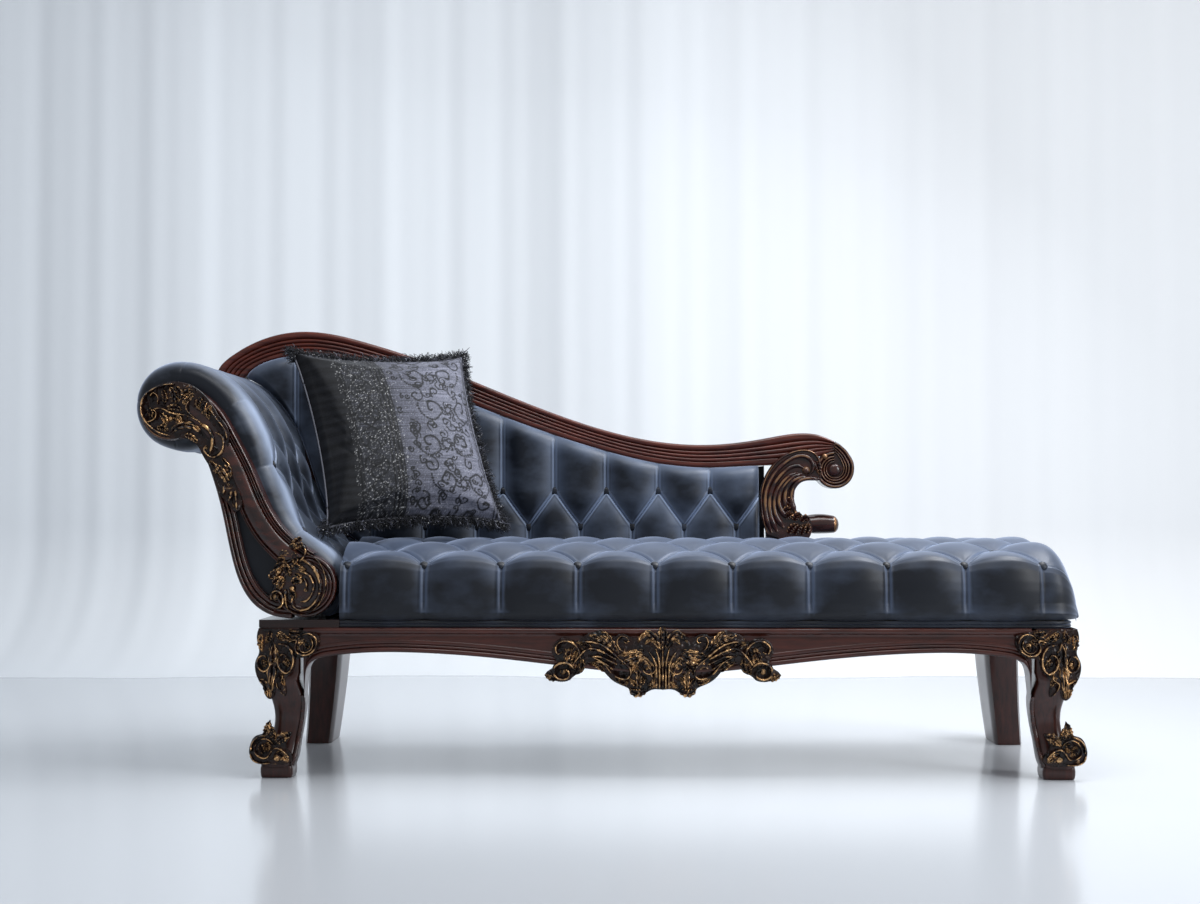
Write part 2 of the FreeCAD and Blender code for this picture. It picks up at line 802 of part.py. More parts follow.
def seat_lattice():
    """All the seat's sections, and the places of its buttons."""
    places, last = seat_stations()
    middle_y = (seat_front_y + rear_face_y) / 2
    rings = []
    spots = []
    for i, x in places:
        row_limit = seat_row_count + (1 if x > end_scroll_x - cloth_gap / 2 else 0)
        base = seat_base(seat_rear_y(x))
        end = max(i - last, 0)
        drop = seat_end_drop_shares[end] if i >= last else 0
        plan = seat_end_plan_shares[end] if i >= last else 0
        ring = []
        for j, (y, z, row) in enumerate(base):
            before = base[max(j - 1, 0)]
            after = base[min(j + 1, len(base) - 1)]
            normal = V(0, before[1] - after[1], after[0] - before[0])
            normal.normalize()
            v = min(row, row_limit)
            height = swell(i / 2, v) if i <= last else swell(last / 2, v)
            sink = seat_tuft_depth * (1 - height)
            edge = j == 0 or j >= len(base) - seat_hidden_rows
            if edge:
                normal = V(0, -1, 0) if j == 0 else V(0, 0, 0)
                sink = sink * pleat_lift_share
            low = V(x, middle_y + (y - middle_y) * (1 - plan),
                    seat_bottom_z + (z - seat_bottom_z) * (1 - drop))
            ring.append(low - normal * sink)
            flat = j >= len(seat_front_shares) and row <= row_limit
            if flat and 0 <= i <= last and is_button(i / 2, row):
                spots.append((len(rings), j, normal))
        rings.append(ring)
    return rings, spots


def seat_pad():
    """The deep buttoned seat with its pleated front and rounded foot end."""
    rings, _ = seat_lattice()
    first_row = len(seat_front_shares)
    return line_loft(rings, lambda i, j: (i - 1 + j - first_row) % 2 == 0)


def seat_buttons():
    """The covered buttons of the seat."""
    rings, spots = seat_lattice()
    return buttons_on(rings, spots)


# Arm pad: rows follow the skin from the seat up, columns run from front to back
arm_front_inset_shares = (1.0, 0.32, 0.0)
arm_front_place_shares = (0.0, 0.34, 1.0)
arm_first_row = 6
arm_top_row = 3
arm_low_row = -1


def arm_stations():
    """Places across the arm from the facing to the back, with how far the border is drawn in."""
    front = facing_back_y + cloth_gap
    places = [(k - 2, front + share * arm_border, arm_front_inset_shares[k] * arm_roll_inset)
              for k, share in enumerate(arm_front_place_shares)]
    start = front + arm_border
    step = (rear_board_front_y - cloth_gap - start) / arm_columns
    places += [(i, start + i * step, 0) for i in range(1, arm_columns + 1)]
    return places


def arm_lattice():
    """The arm pad's sections, with the places of its buttons."""
    rings = []
    spots = []
    for i, y, inset in arm_stations():
        skin = skin_points(y)
        normals = outward_normals(skin)
        ring = []
        for j, (point, normal) in enumerate(zip(skin, normals)):
            row = (j - arm_first_row) / 2
            v = min(max(row, arm_low_row), arm_top_row)
            u = max(i, 2) / 2 + 1
            sink = arm_tuft_depth * (1 - swell(u, v))
            if j == 0 or j == len(skin) - 1:
                sink = 0
            low = point - normal * (sink + inset)
            if j == 0:
                low = V(low.x, y, point.z)
            ring.append(low)
            if arm_low_row < row <= arm_top_row and 2 <= i < arm_columns and is_button(i / 2 + 1, row):
                spots.append((len(rings), j, normal))
        rings.append(ring + arm_table(core_shares, y))
    return rings, spots


def arm_pad():
    """The tufted pad that runs up the head end and over the roll."""
    rings, _ = arm_lattice()
    return line_loft(rings, lambda i, j: (i + j - arm_first_row) % 2 == 0)


def arm_buttons():
    """The covered buttons of the arm."""
    rings, spots = arm_lattice()
    return buttons_on(rings, spots)


# The C scroll at the foot end, as shares of its own width and height
end_scroll_left_shares = ((0.102, 1.10), (0.095, 1.0), (0.028, 0.805), (0.000, 0.537), (0.011, 0.336),
                          (0.051, 0.154), (0.102, 0.007))
end_scroll_right_shares = ((0.800, 0.900), (0.739, 0.779), (0.591, 0.799), (0.489, 0.745), (0.438, 0.611),
                           (0.426, 0.470), (0.449, 0.356), (0.517, 0.275), (0.625, 0.221), (0.761, 0.235),
                           (0.875, 0.242), (0.955, 0.201), (0.994, 0.101), (0.994, 0.007))

end_scroll_reed_point_count = 9
end_scroll_reed_shares = ((0.06, 0.24, 1.0), (0.36, 0.52, 0.8), (0.66, 0.86, 1.0))

# Crest rail and its underside, as shares of its length and rise
crest_top_shares = ((0.009, 0.656), (0.017, 0.772), (0.037, 0.850), (0.083, 0.951), (0.136, 1.000),
                    (0.191, 0.988), (0.244, 0.936), (0.314, 0.847), (0.417, 0.682), (0.554, 0.460),
                    (0.682, 0.312), (0.776, 0.277), (0.871, 0.318), (0.935, 0.350), (0.961, 0.332),
                    (0.987, 0.275), (1.002, 0.211), (1.009, 0.133), (1.005, 0.069), (0.993, 0.020),
                    (0.978, -0.003), (0.964, 0.009))
crest_low_shares = ((0.049, 0.650), (0.061, 0.728), (0.092, 0.806), (0.136, 0.847), (0.191, 0.838),
                    (0.244, 0.786), (0.314, 0.694), (0.417, 0.532), (0.536, 0.350), (0.619, 0.243),
                    (0.698, 0.165), (0.777, 0.133), (0.872, 0.147), (0.907, 0.142), (0.935, 0.107),
                    (0.954, 0.052))
crest_boss_share = (0.978, 0.117)
crest_reed_shares = ((0.06, 0.32, 1.0), (0.42, 0.56, 0.8), (0.65, 0.78, 0.65))


def crest_points(table, y, lift=0):
    """Points of the crest rail at one depth."""
    return table_points(table, crest_left_x, crest_length, crest_low_z + lift, crest_rise, y)


def crest_outline(y0, y1, lower_lift=0):
    """The crest rail as a board between two depths."""
    return band(crest_points(crest_top_shares, y0), crest_points(crest_low_shares, y0, lower_lift), y0, y1)


def crest_underside(x):
    """Height of the crest rail's lower edge at one place along the seat."""
    curve = spline(crest_points(crest_low_shares, 0))
    low = curve.FirstParameter
    high = curve.LastParameter
    for _ in range(halving_count):
        middle = (low + high) / 2
        if curve.value(middle).x < x:
            low = middle
        else:
            high = middle
    return curve.value(low).z


def crest_rail():
    """The sweeping top rail with raised reeds along its face and a rolled end."""
    body = crest_outline(crest_front_y, crest_rear_y)
    top = crest_points(crest_top_shares[:crest_reed_point_count], crest_front_y)
    under = crest_points(crest_low_shares[:crest_reed_point_count], crest_front_y)
    reeds = []
    for first, last, proud_share in crest_reed_shares:
        reeds.append(reed(top, under, first, last, proud_share * crest_boss_proud).cut(arm_blank()))
    centre = crest_points((crest_boss_share,), 0)[0]
    front = crest_front_y - crest_boss_proud
    boss = disc(centre.x, centre.z, scroll_boss_radius, front, crest_rear_y)
    eye = disc(centre.x, centre.z, crest_eye_radius, front - crest_eye_proud, front)
    return body.fuse(reeds + [boss, eye]).removeSplitter()


def end_scroll():
    """The C scroll that carries the foot end of the crest rail, with its post to the seat frame."""
    y0 = crest_front_y + end_scroll_front_inset
    z0 = crest_low_z + crest_rise * crest_end_share - end_scroll_height
    left = table_points(end_scroll_left_shares, end_scroll_x, end_scroll_width, z0, end_scroll_height, y0)
    right = table_points(end_scroll_right_shares, end_scroll_x, end_scroll_width, z0, end_scroll_height, y0)
    outline = along(left, curve_steps(left)) + list(reversed(along(right, curve_steps(right))))
    scroll = slab(polygon(outline), V(0, rear_face_y - y0, 0))
    hollow = right[:end_scroll_reed_point_count]
    reeds = [reed(left[1:], hollow, first, last, proud_share * crest_boss_proud)
             for first, last, proud_share in end_scroll_reed_shares]
    post = box(end_post_x0(), end_post_x1(), rear_face_y - end_post_depth, rear_face_y, rail_top_z,
               z0 + tenon_height)
    return scroll.fuse(reeds + [post]).cut(crest_rail()).removeSplitter()


def back_post_places():
    """Left sides of the two hidden uprights in the back."""
    first = arm_right_x + back_post_width / 3
    return [first, (first + end_post_x0()) / 2]


def back_posts():
    """The uprights that carry the crest rail."""
    solids = []
    for x in back_post_places():
        top = min(crest_underside(x), crest_underside(x + back_post_width)) - fit_gap
        solids.append(box(x, x + back_post_width, rear_face_y - back_post_thickness, rear_face_y,
                          rail_top_z, top))
    return Part.makeCompound(solids)


def back_bottom_rails():
    """The tacking rails at the foot of the back, between the uprights."""
    starts = back_post_places()
    ends = [starts[1], end_post_x0()]
    solids = []
    for x, end in zip(starts, ends):
        solids.append(box(x + back_post_width + fit_gap, end - fit_gap, rear_face_y - back_post_thickness,
                          rear_face_y, rail_top_z, rail_top_z + back_post_width))
    return Part.makeCompound(solids)


def outside_back():
    """The cloth-covered panel that closes the back from behind."""
    visible = crest_low_shares[back_panel_skip_count:back_panel_point_count]
    upper = crest_points(visible, rear_face_y, -fit_gap)
    curve = along(upper, curve_steps(upper) * 2)
    low = rail_top_z - tenon_thickness
    corners = [V(curve[-1].x, rear_face_y, low), V(curve[0].x, rear_face_y, low)]
    panel = slab(polygon(curve + corners), V(0, back_panel_thickness, 0))
    lowered = crest_outline(crest_rear_y, crest_rear_y + back_panel_thickness, -fit_gap)
    side = arm_table(stile_outer_shares, rear_face_y)
    beyond = [V(side[-1].x, rear_face_y, rail_top_z), V(left_block_x, rear_face_y, rail_top_z),
              V(left_block_x, rear_face_y, 0), V(arm_left_x, rear_face_y, 0),
              V(arm_left_x, rear_face_y, side[0].z)]
    outside = slab(polygon(along(side, curve_steps(side)) + beyond), V(0, back_panel_thickness, 0))
    return panel.cut([lowered, outside])


def arm_rear_board():
    """The scrolled board at the back of the arm, fitted under the crest rail."""
    y = rear_board_front_y
    skin = [p - n * cloth_gap for p, n in zip(skin_points(y), outward_normals(skin_points(y)))]
    outer = arm_table(stile_outer_shares, y)
    board = slab(polygon(skin + outer), V(0, rear_face_y - y, 0))
    return board.cut(crest_rail())


def arm_slats():
    """Slats along the inside of the arm's padding, from the facing to the rear board."""
    y = facing_back_y + fit_gap
    run = rear_board_front_y - fit_gap - y
    core = arm_table(core_shares, y)
    solids = []
    for a, b in list(zip(core, core[1:]))[slat_first_count:slat_first_count + slat_count]:
        edge = b - a
        length = edge.Length
        edge.normalize()
        inward = V(edge.z, 0, -edge.x)
        if inward.x > 0:
            inward = V(0, 0, 0) - inward
        start = (a + b) / 2 - edge * (length * slat_share / 2) + inward * fit_gap
        end = start + edge * (length * slat_share)
        wire = polygon([start, end, end + inward * slat_thickness, start + inward * slat_thickness])
        solids.append(slab(wire, V(0, run, 0)))
    return Part.makeCompound(solids)


def arm_outside():
    """The cloth-covered outer side of the arm."""
    y = facing_back_y + fit_gap
    outer = arm_table(stile_outer_shares, y)
    curve = along(outer, curve_steps(outer))
    inner = [p + V(back_panel_thickness, 0, back_panel_thickness / 2) for p in curve]
    return slab(polygon(curve + list(reversed(inner))), V(0, rear_board_front_y - fit_gap - y, 0))


# Buttoned back pad
back_edge_turn = 22.5
back_edge_ease = 6.0
back_fall_share = 0.4
back_upper_cells = 3


def arm_skin_height(x):
    """Top of the arm's padding at one place, where the back pad meets it."""
    skin = skin_points(0)[skin_turn_count:]
    for a, b in zip(skin, skin[1:]):
        if b.x <= x <= a.x:
            return a.z + (b.z - a.z) * (a.x - x) / (a.x - b.x)
    return skin[0].z


def back_stations():
    """Places along the back, from the head end to the scroll, with their lattice numbers."""
    right = end_scroll_x - cloth_gap * 3
    step = back_pitch / pleat_cells
    pleat = right - back_first_pleat
    left = arm_left_x + arm_width * back_left_share
    places = []
    i = 0
    while pleat + (i + 1) * step < right - step / 3:
        i += 1
    last = i
    places.append((last + 1, right))
    while pleat + i * step > arm_right_x + step / 2:
        places.append((i, pleat + i * step))
        i -= 1
    places.append((i, arm_right_x + cloth_gap * 2))
    places.append((i - 1, arm_right_x + cloth_gap))
    i -= 2
    while pleat + i * step > left:
        places.append((i, pleat + i * step))
        i -= 1
    return list(reversed(places))


def back_heights(bottom, top):
    """Heights and row numbers of a section of the back pad, from the seat up to the rail."""
    second = back_button_z - back_row
    marks = [(bottom, 1), (bottom + (second - bottom) * back_fall_share, 1), (second, 1),
             (back_button_z - back_row / 2, 0.5), (back_button_z, 0)]
    upper = top - back_edge
    for k in range(back_upper_cells):
        marks.append((back_button_z + (upper - back_button_z) * (k + 1) / back_upper_cells, 0))
    marks.append((top - back_edge / 3, 0))
    marks.append((top, 0))
    return marks


def back_lattice():
    """The back pad's sections, with the places of its buttons."""
    rings = []
    spots = []
    bottom_free = arm_base_z + fit_gap
    plain_top = crest_underside(arm_right_x) - cloth_gap
    for i, x in back_stations():
        covered = x < arm_right_x + cloth_gap * 3 / 2
        bottom = arm_skin_height(x) + arm_seam_gap if covered else bottom_free
        top = crest_underside(x) - cloth_gap
        marks = back_heights(bottom_free, top if not covered else plain_top)
        if covered:
            low = marks[0][0]
            span = marks[-1][0] - low
            marks = [(bottom + (z - low) / span * (top - bottom), row) for z, row in marks]
        ring = []
        for j, (z, row) in enumerate(marks):
            edge = j == 0 or j == len(marks) - 1
            face = back_front_y + (back_edge_turn if edge else 0)
            if j == len(marks) - 2:
                face += back_edge_ease
            sink = back_tuft_depth * (1 - swell(i / 2, row)) * (pleat_lift_share if edge else 1)
            ring.append(V(x, face + sink, z))
            clear = arm_right_x + 2 * button_radius < x < end_scroll_x - 2 * button_radius
            buttoned = z in (back_button_z, back_button_z - back_row)
            if clear and buttoned and is_button(i / 2, row):
                spots.append((len(rings), j, V(0, -1, 0)))
        rings.append(ring + [V(x, back_pad_rear_y, top), V(x, back_pad_rear_y, bottom)])
    return rings, spots


def arm_blank():
    """The room the arm takes, with a seam's clearance."""
    skin = skin_points(front_face_y)
    grown = [point + normal * arm_seam_gap for point, normal in zip(skin, outward_normals(skin))]
    low = V(arm_left_x, front_face_y, rail_top_z)
    outline = [low, V(grown[0].x, front_face_y, rail_top_z)] + grown
    return slab(polygon(outline), V(0, rear_face_y - front_face_y, 0))


def back_pad():
    """The tufted back, pleated straight up to the crest rail above its top buttons."""
    rings, _ = back_lattice()
    first = back_stations()[0][0]
    pad = line_loft(rings, lambda i, j: (i + first + j) % 2 == 0)
    return pad.cut(arm_blank())


def back_buttons():
    """The covered buttons of the back."""
    rings, spots = back_lattice()
    return buttons_on(rings, spots)


# Carved ornament: each leaf is a ridge that swells and tapers along a curve
leaf_width_shares = (0.12, 0.75, 1.0, 0.85, 0.55, 0.10)
leaf_steps = 6
leaf_tip_share = 0.1
leaf_lobe_share = 0.45
leaf_lobe_height_share = 0.9
leaf_vein_height_share = 0.6


def leaf(points, width, y_back, height):
    """One carved leaf lying on the plane y_back, along a curve seen from the front."""
    spine = along([V(x, y_back, z) for x, z in points], leaf_steps)
    widths = eased(leaf_width_shares, leaf_steps)
    rings = []
    for i, point in enumerate(spine):
        run = spine[min(i + 1, leaf_steps)] - spine[max(i - 1, 0)]
        run.normalize()
        share = max(widths[i], leaf_tip_share)
        side = V(run.z, 0, -run.x) * (width / 2 * share)
        lobe = V(0, height * leaf_lobe_height_share * math.sqrt(share), 0)
        vein = V(0, height * leaf_vein_height_share * math.sqrt(share), 0)
        rings.append([point + side, point + side * leaf_lobe_share - lobe, point - vein,
                      point - side * leaf_lobe_share - lobe, point - side])
    return line_loft(rings)


def mirrored(points):
    """The same curve on the other side of the ornament's middle."""
    return [(-x, z) for x, z in points]


def carved_boss(x, y, z, radius, height):
    """A domed knob standing on a carving's ground."""
    turn = 2 * math.pi / carving_boss_sides
    rings = []
    for share, rise in ((1, 0), (1, height / 2), (carving_boss_top_share, height)):
        reach = radius * share
        rings.append([V(x + reach * math.cos(i * turn), y - rise, z + reach * math.sin(i * turn))
                      for i in range(carving_boss_sides)])
    return line_loft(rings)


def ornament(plate, leaves, bosses, x, z, width, height, y_back, depth, side=1):
    """A carved piece: a thin pierced ground with leaves and bosses standing on it."""
    ground_y = y_back - depth * ground_share
    outline = [V(x + side * a * width, ground_y, z + b * height) for a, b in plate]
    outline = along(outline + [outline[0]], curve_steps(outline))[:-1]
    ground = slab(polygon(outline), V(0, y_back - ground_y, 0))
    solids = []
    for points, thick in leaves:
        path = [(x + side * a * width, z + b * height) for a, b in points]
        solids.append(leaf(path, thick * height, ground_y, depth * (1 - ground_share)))
    for a, b, share in bosses:
        solids.append(carved_boss(x + side * a * width, ground_y, z + b * height, share * height,
                                  depth * (1 - ground_share)))
    return ground.fuse(solids)


# Apron cartouche, as shares of its half width and of its height, about its middle
ground_share = 0.45
cartouche_plate_shares = ((0.0, 0.98), (0.10, 0.90), (0.22, 0.74), (0.36, 0.84), (0.52, 0.92), (0.68, 0.82),
                          (0.84, 0.90), (0.98, 0.74), (0.99, 0.50), (0.88, 0.22), (0.76, 0.32), (0.61, 0.46),
                          (0.44, 0.24), (0.27, 0.04), (0.14, 0.0), (0.0, 0.08))
cartouche_leaves = ((((0.02, 0.12), (0.10, 0.42), (0.20, 0.66), (0.34, 0.80), (0.48, 0.84)), 0.20),
                    (((0.10, 0.16), (0.24, 0.34), (0.38, 0.52), (0.52, 0.72), (0.66, 0.76)), 0.18),
                    (((0.20, 0.12), (0.34, 0.26), (0.50, 0.44), (0.66, 0.60), (0.80, 0.82)), 0.17),
                    (((0.62, 0.50), (0.74, 0.42), (0.84, 0.38), (0.92, 0.52), (0.88, 0.68)), 0.16))
cartouche_stem = ((((0.0, 0.10), (0.0, 0.35), (0.0, 0.60), (0.0, 0.94)), 0.22),)
cartouche_flutes = ((((0.03, 0.30), (0.06, 0.50), (0.10, 0.68), (0.14, 0.86)), 0.15),)
cartouche_bosses = ((0.14, 0.26, 0.10), (0.90, 0.58, 0.11), (0.28, 0.84, 0.07))


def mirror_table(table):
    """A half outline completed on the other side, without doubling the ends."""
    return table + tuple((-a, b) for a, b in reversed(table[1:-1]))


def cartouche():
    """The carved acanthus at the middle of the apron."""
    x = (left_inner_x + right_block_x) / 2 + cartouche_offset
    z0 = rail_top_z - cartouche_height + fit_gap - cartouche_drop
    leaves = list(cartouche_stem)
    for points, thick in cartouche_leaves + cartouche_flutes:
        leaves.append((points, thick))
        leaves.append((tuple(mirrored(points)), thick))
    bosses = [(side * a, b, share) for a, b, share in cartouche_bosses for side in (-1, 1)]
    carving = ornament(mirror_table(cartouche_plate_shares), leaves, bosses, x, z0, cartouche_width / 2,
                       cartouche_height, front_face_y, cartouche_depth)
    return carving.cut(front_rail())


# Knee, foot and arm carvings, as shares of their own width and height
knee_plate_shares = ((0.0, 0.98), (0.30, 1.0), (0.62, 0.88), (0.95, 0.96), (1.0, 0.72), (0.80, 0.58),
                     (0.56, 0.40), (0.34, 0.02), (0.16, 0.10), (0.04, 0.45))
knee_leaves = ((((0.24, 0.06), (0.28, 0.34), (0.26, 0.62), (0.14, 0.90)), 0.26),
               (((0.28, 0.20), (0.42, 0.46), (0.56, 0.68), (0.84, 0.82)), 0.24),
               (((0.36, 0.50), (0.40, 0.74), (0.50, 0.92)), 0.18),
               (((0.08, 0.40), (0.06, 0.60), (0.10, 0.80), (0.22, 0.94)), 0.18),
               (((0.52, 0.52), (0.68, 0.60), (0.86, 0.66), (0.94, 0.76)), 0.14))
knee_bosses = ((0.84, 0.86, 0.09), (0.12, 0.72, 0.08), (0.44, 0.60, 0.07))
foot_leaves = ((((0.06, 0.20), (0.22, 0.66), (0.52, 0.86), (0.86, 0.70)), 0.44),
               (((0.16, 0.10), (0.44, 0.40), (0.74, 0.44), (0.96, 0.24)), 0.40))
foot_bosses = ((0.80, 0.62, 0.16),)
foot_plate_shares = ((0.0, 0.10), (0.06, 0.60), (0.34, 0.98), (0.72, 0.96), (1.0, 0.56), (0.98, 0.06),
                     (0.5, 0.0))
volute_leaves = ((((-0.92, 0.10), (-0.60, 0.66), (0.0, 0.88), (0.62, 0.62)), 0.30),
                 (((-0.80, -0.24), (-0.40, 0.26), (0.14, 0.44), (0.66, 0.12)), 0.28),
                 (((-0.52, -0.62), (-0.08, -0.16), (0.40, -0.08), (0.84, -0.34)), 0.28))
petal_count = 6
petal_shares = ((0.10, 0.0), (0.45, 0.25), (0.75, 0.42), (0.95, 0.50))
petal_width_share = 0.34
plate_side_count = 8
boss_eye_share = 0.2
plate_reach_share = 0.96


def round_plate():
    """Eight-sided ground for a boss's ornament, within a unit circle."""
    turn = 2 * math.pi / plate_side_count
    angles = [(i + 1 / 2) * turn for i in range(plate_side_count)]
    return tuple((math.cos(angle) * plate_reach_share, math.sin(angle) * plate_reach_share) for angle in angles)


def knee_carving(block_x, outward):
    """The carved acanthus on a front leg's knee."""
    outer = block_x if outward < 0 else block_x + leg_block
    carving = ornament(knee_plate_shares, knee_leaves, knee_bosses, outer + outward * knee_overlap,
                       rail_top_z - knee_height - fit_gap, knee_width, knee_height,
                       front_face_y, knee_depth, -outward)
    return carving.cut([front_rail(), front_leg(block_x, outward)])


def foot_carving(block_x, outward):
    """The carved scrolls that curl out over a front foot."""
    inner = block_x + leg_block / 2 + outward * (leg_outward_shares[-1] * leg_block - foot_carving_inset)
    carving = ornament(foot_plate_shares, foot_leaves, foot_bosses, inner, leg_foot_height + fit_gap,
                       foot_carving_width, foot_carving_height, front_face_y, knee_depth, outward)
    return carving.cut(front_leg(block_x, outward))


def boss_carving(x, z, radius, table):
    """Carved leaves on a scroll's boss."""
    front = facing_back_y - facing_thickness - disc_proud
    reach = radius * carving_share
    return ornament(round_plate(), table, ((0, 0, boss_eye_share),), x, z, reach, reach, front, boss_carving_depth)


def volute_carving():
    """Leaves that follow the rolled end of the arm."""
    centre = arm_point(volute_share, facing_back_y)
    return boss_carving(centre.x, centre.z, volute_radius, volute_leaves)


def rosette_carving():
    """A turning flower on the boss at the foot of the arm."""
    return boss_carving(rosette_x, rosette_z, rosette_radius, petals())


def petals():
    """Leaves that turn round the middle of the rosette."""
    leaves = []
    for i in range(petal_count):
        angle = 2 * math.pi * i / petal_count
        path = []
        for reach, turn in petal_shares:
            path.append((reach * math.cos(angle + turn), reach * math.sin(angle + turn)))
        leaves.append((tuple(path), petal_width_share))
    return leaves


def cord(path, radius):
    """A cord of short straight runs along a level path."""
    turn = 2 * math.pi / welt_sides
    rings = []
    for i, point in enumerate(path):
        run = path[min(i + 1, len(path) - 1)] - path[max(i - 1, 0)]
        run.normalize()
        side = V(run.y, -run.x, 0)
        rings.append([point + side * (radius * math.cos(k * turn)) + V(0, 0, radius * math.sin(k * turn))
                      for k in range(welt_sides)])
    return line_loft(rings)


def rounded_turn(centre, start_angle):
    """Points of a quarter turn at a corner of the seat."""
    angles = [start_angle + math.pi / 2 * k / welt_corner_steps for k in range(welt_corner_steps + 1)]
    return [centre + V(welt_corner * math.cos(angle), welt_corner * math.sin(angle), 0) for angle in angles]


def welts():
    """Double piping that runs round the foot of the seat, from the arm to the end of the back."""
    corner_x = right_outer_x - welt_inset - welt_corner
    front_y = front_face_y + welt_inset
    rear_y = rear_face_y - welt_inset
    solids = []
    for k in (1, 3):
        z = rail_top_z + k * welt_radius
        path = [V(seat_left_x, front_y, z)]
        path += rounded_turn(V(corner_x, front_y + welt_corner, z), -math.pi / 2)
        path += rounded_turn(V(corner_x, rear_y - welt_corner, z), 0)
        path.append(V(end_post_x1() + fit_gap, rear_y, z))
        solids.append(cord(path, welt_radius))
    return Part.makeCompound(solids)


def grid_solid(front, back):
    """A closed pad between two grids of points that share their border order."""
    faces = []
    rows = len(front) - 1
    columns = len(front[0]) - 1
    for i in range(rows):
        for j in range(columns):
            crease = (i < rows / 2) == (j < columns / 2)
            for grid in (front, back):
                faces.extend(facets(grid[i][j], grid[i + 1][j], grid[i + 1][j + 1], grid[i][j + 1], crease))
    border = [(i, 0) for i in range(rows)] + [(rows, j) for j in range(columns)]
    border += [(i, columns) for i in range(rows, 0, -1)] + [(0, j) for j in range(columns, 0, -1)]
    for (i, j), (m, n) in zip(border, border[1:] + border[:1]):
        faces.extend(facets(front[i][j], front[m][n], back[m][n], back[i][j], True))
    shell = Part.makeShell(faces)
    shell.sewShape()
    solid = Part.makeSolid(Part.Shell(shell.Faces))
    if solid.Volume < 0:
        solid.reverse()
    return solid


def cushion_point(a, b, side):
    """A point of the cushion's cover, for a and b from -1 to 1 across it."""
    half = cushion_size / 2
    x = a * (half - cushion_pull * (1 - b * b))
    z = b * (half - cushion_pull * (1 - a * a))
    crown = ((1 - a * a) * (1 - b * b)) ** cushion_crown_share
    y = cushion_edge / 2 + (cushion_thickness - cushion_edge) / 2 * crown
    return V(x, side * y, z)


def cushion_turn():
    """How the cushion leans: rolled in its own plane, tilted back, then turned to the corner."""
    roll = FreeCAD.Rotation(V(0, 1, 0), -cushion_roll)
    tilt = FreeCAD.Rotation(V(1, 0, 0), -cushion_tilt)
    yaw = FreeCAD.Rotation(V(0, 0, 1), cushion_yaw)
    return yaw.multiply(tilt).multiply(roll)


def place_cushion(shape):
    """Lean the cushion on the seat so that its lowest corner just clears the padding."""
    turn = cushion_turn()
    reach = cushion_size / 2 + fringe_width
    lowest = min(turn.multVec(V(a * reach, c * fringe_thickness / 2, b * reach)).z
                 for a in (-1, 1) for b in (-1, 1) for c in (-1, 1))
    z = seat_row0_z + seat_crown + fit_gap - cushion_sink - lowest
    shape.Placement = FreeCAD.Placement(V(cushion_centre_x, cushion_centre_y, z), turn)
    return shape


def cushion_cover():
    """The crowned cushion with drawn-in sides."""
    steps = [2 * i / cushion_cells - 1 for i in range(cushion_cells + 1)]
    front = [[cushion_point(a, b, -1) for b in steps] for a in steps]
    back = [[cushion_point(a, b, 1) for b in steps] for a in steps]
    return place_cushion(grid_solid(front, back))


def cushion_border(grow, y):
    """The cushion's edge line, moved outward."""
    half = cushion_size / 2
    scale = (half + grow) / half
    steps = [2 * i / cushion_cells - 1 for i in range(cushion_cells)]
    points = [cushion_point(-1, b, 1) for b in steps] + [cushion_point(a, 1, 1) for a in steps]
    points += [cushion_point(1, -b, 1) for b in steps] + [cushion_point(-a, -1, 1) for a in steps]
    return polygon([V(p.x * scale, y, p.z * scale) for p in points])


def cushion_fringe():
    """The brush fringe sewn round the cushion's edge."""
    y = -fringe_thickness / 2
    run = V(0, fringe_thickness, 0)
    outer = slab(cushion_border(fringe_width, y), run)
    inner = slab(cushion_border(fit_gap, y), run)
    return place_cushion(outer.cut(inner))


parts = {
    "front_rail": front_rail(),
    "back_seat_rail": rear_rail(),
    "head_end_rail": end_rail(left_block_x, -1),
    "foot_end_rail": end_rail(right_block_x, 1),
    "front_left_leg": front_leg(left_block_x, -1),
    "front_right_leg": front_leg(right_block_x, 1),
    "rear_left_leg": rear_leg(left_block_x, -1),
    "rear_right_leg": rear_leg(right_block_x, 1),
    "cross_rails": cross_rails(),
    "corner_braces": corner_braces(),
    "webbing_cross": webbing_cross(),
    "webbing_long": webbing_long(),
    "seat_deck": seat_deck(),
    "seat_stuffing": seat_stuffing(),
    "dust_cover": dust_cover(),
    "seat_pad": seat_pad(),
    "seat_buttons": seat_buttons(),
    "seat_welts": welts(),
    "apron_cartouche": cartouche(),
    "left_knee_carving": knee_carving(left_block_x, -1),
    "right_knee_carving": knee_carving(right_block_x, 1),
    "left_foot_carving": foot_carving(left_block_x, -1),
    "right_foot_carving": foot_carving(right_block_x, 1),
    "arm_base_board": arm_base(),
    "arm_facing": arm_facing(),
    "arm_stile": arm_stile(),
    "arm_inset_panel": arm_inset(),
    "arm_pad": arm_pad(),
    "arm_buttons": arm_buttons(),
    "arm_slats": arm_slats(),
    "arm_rear_board": arm_rear_board(),
    "arm_outside_panel": arm_outside(),
    "arm_volute_carving": volute_carving(),
    "arm_rosette": rosette_carving(),
    "crest_rail": crest_rail(),
    "end_scroll": end_scroll(),
    "back_posts": back_posts(),
    "back_bottom_rails": back_bottom_rails(),
    "back_pad": back_pad(),
    "back_buttons": back_buttons(),
    "outside_back_panel": outside_back(),
    "cushion_cover": cushion_cover(),
    "cushion_fringe": cushion_fringe(),
}

for name, shape in parts.items():
    export(shape, name)
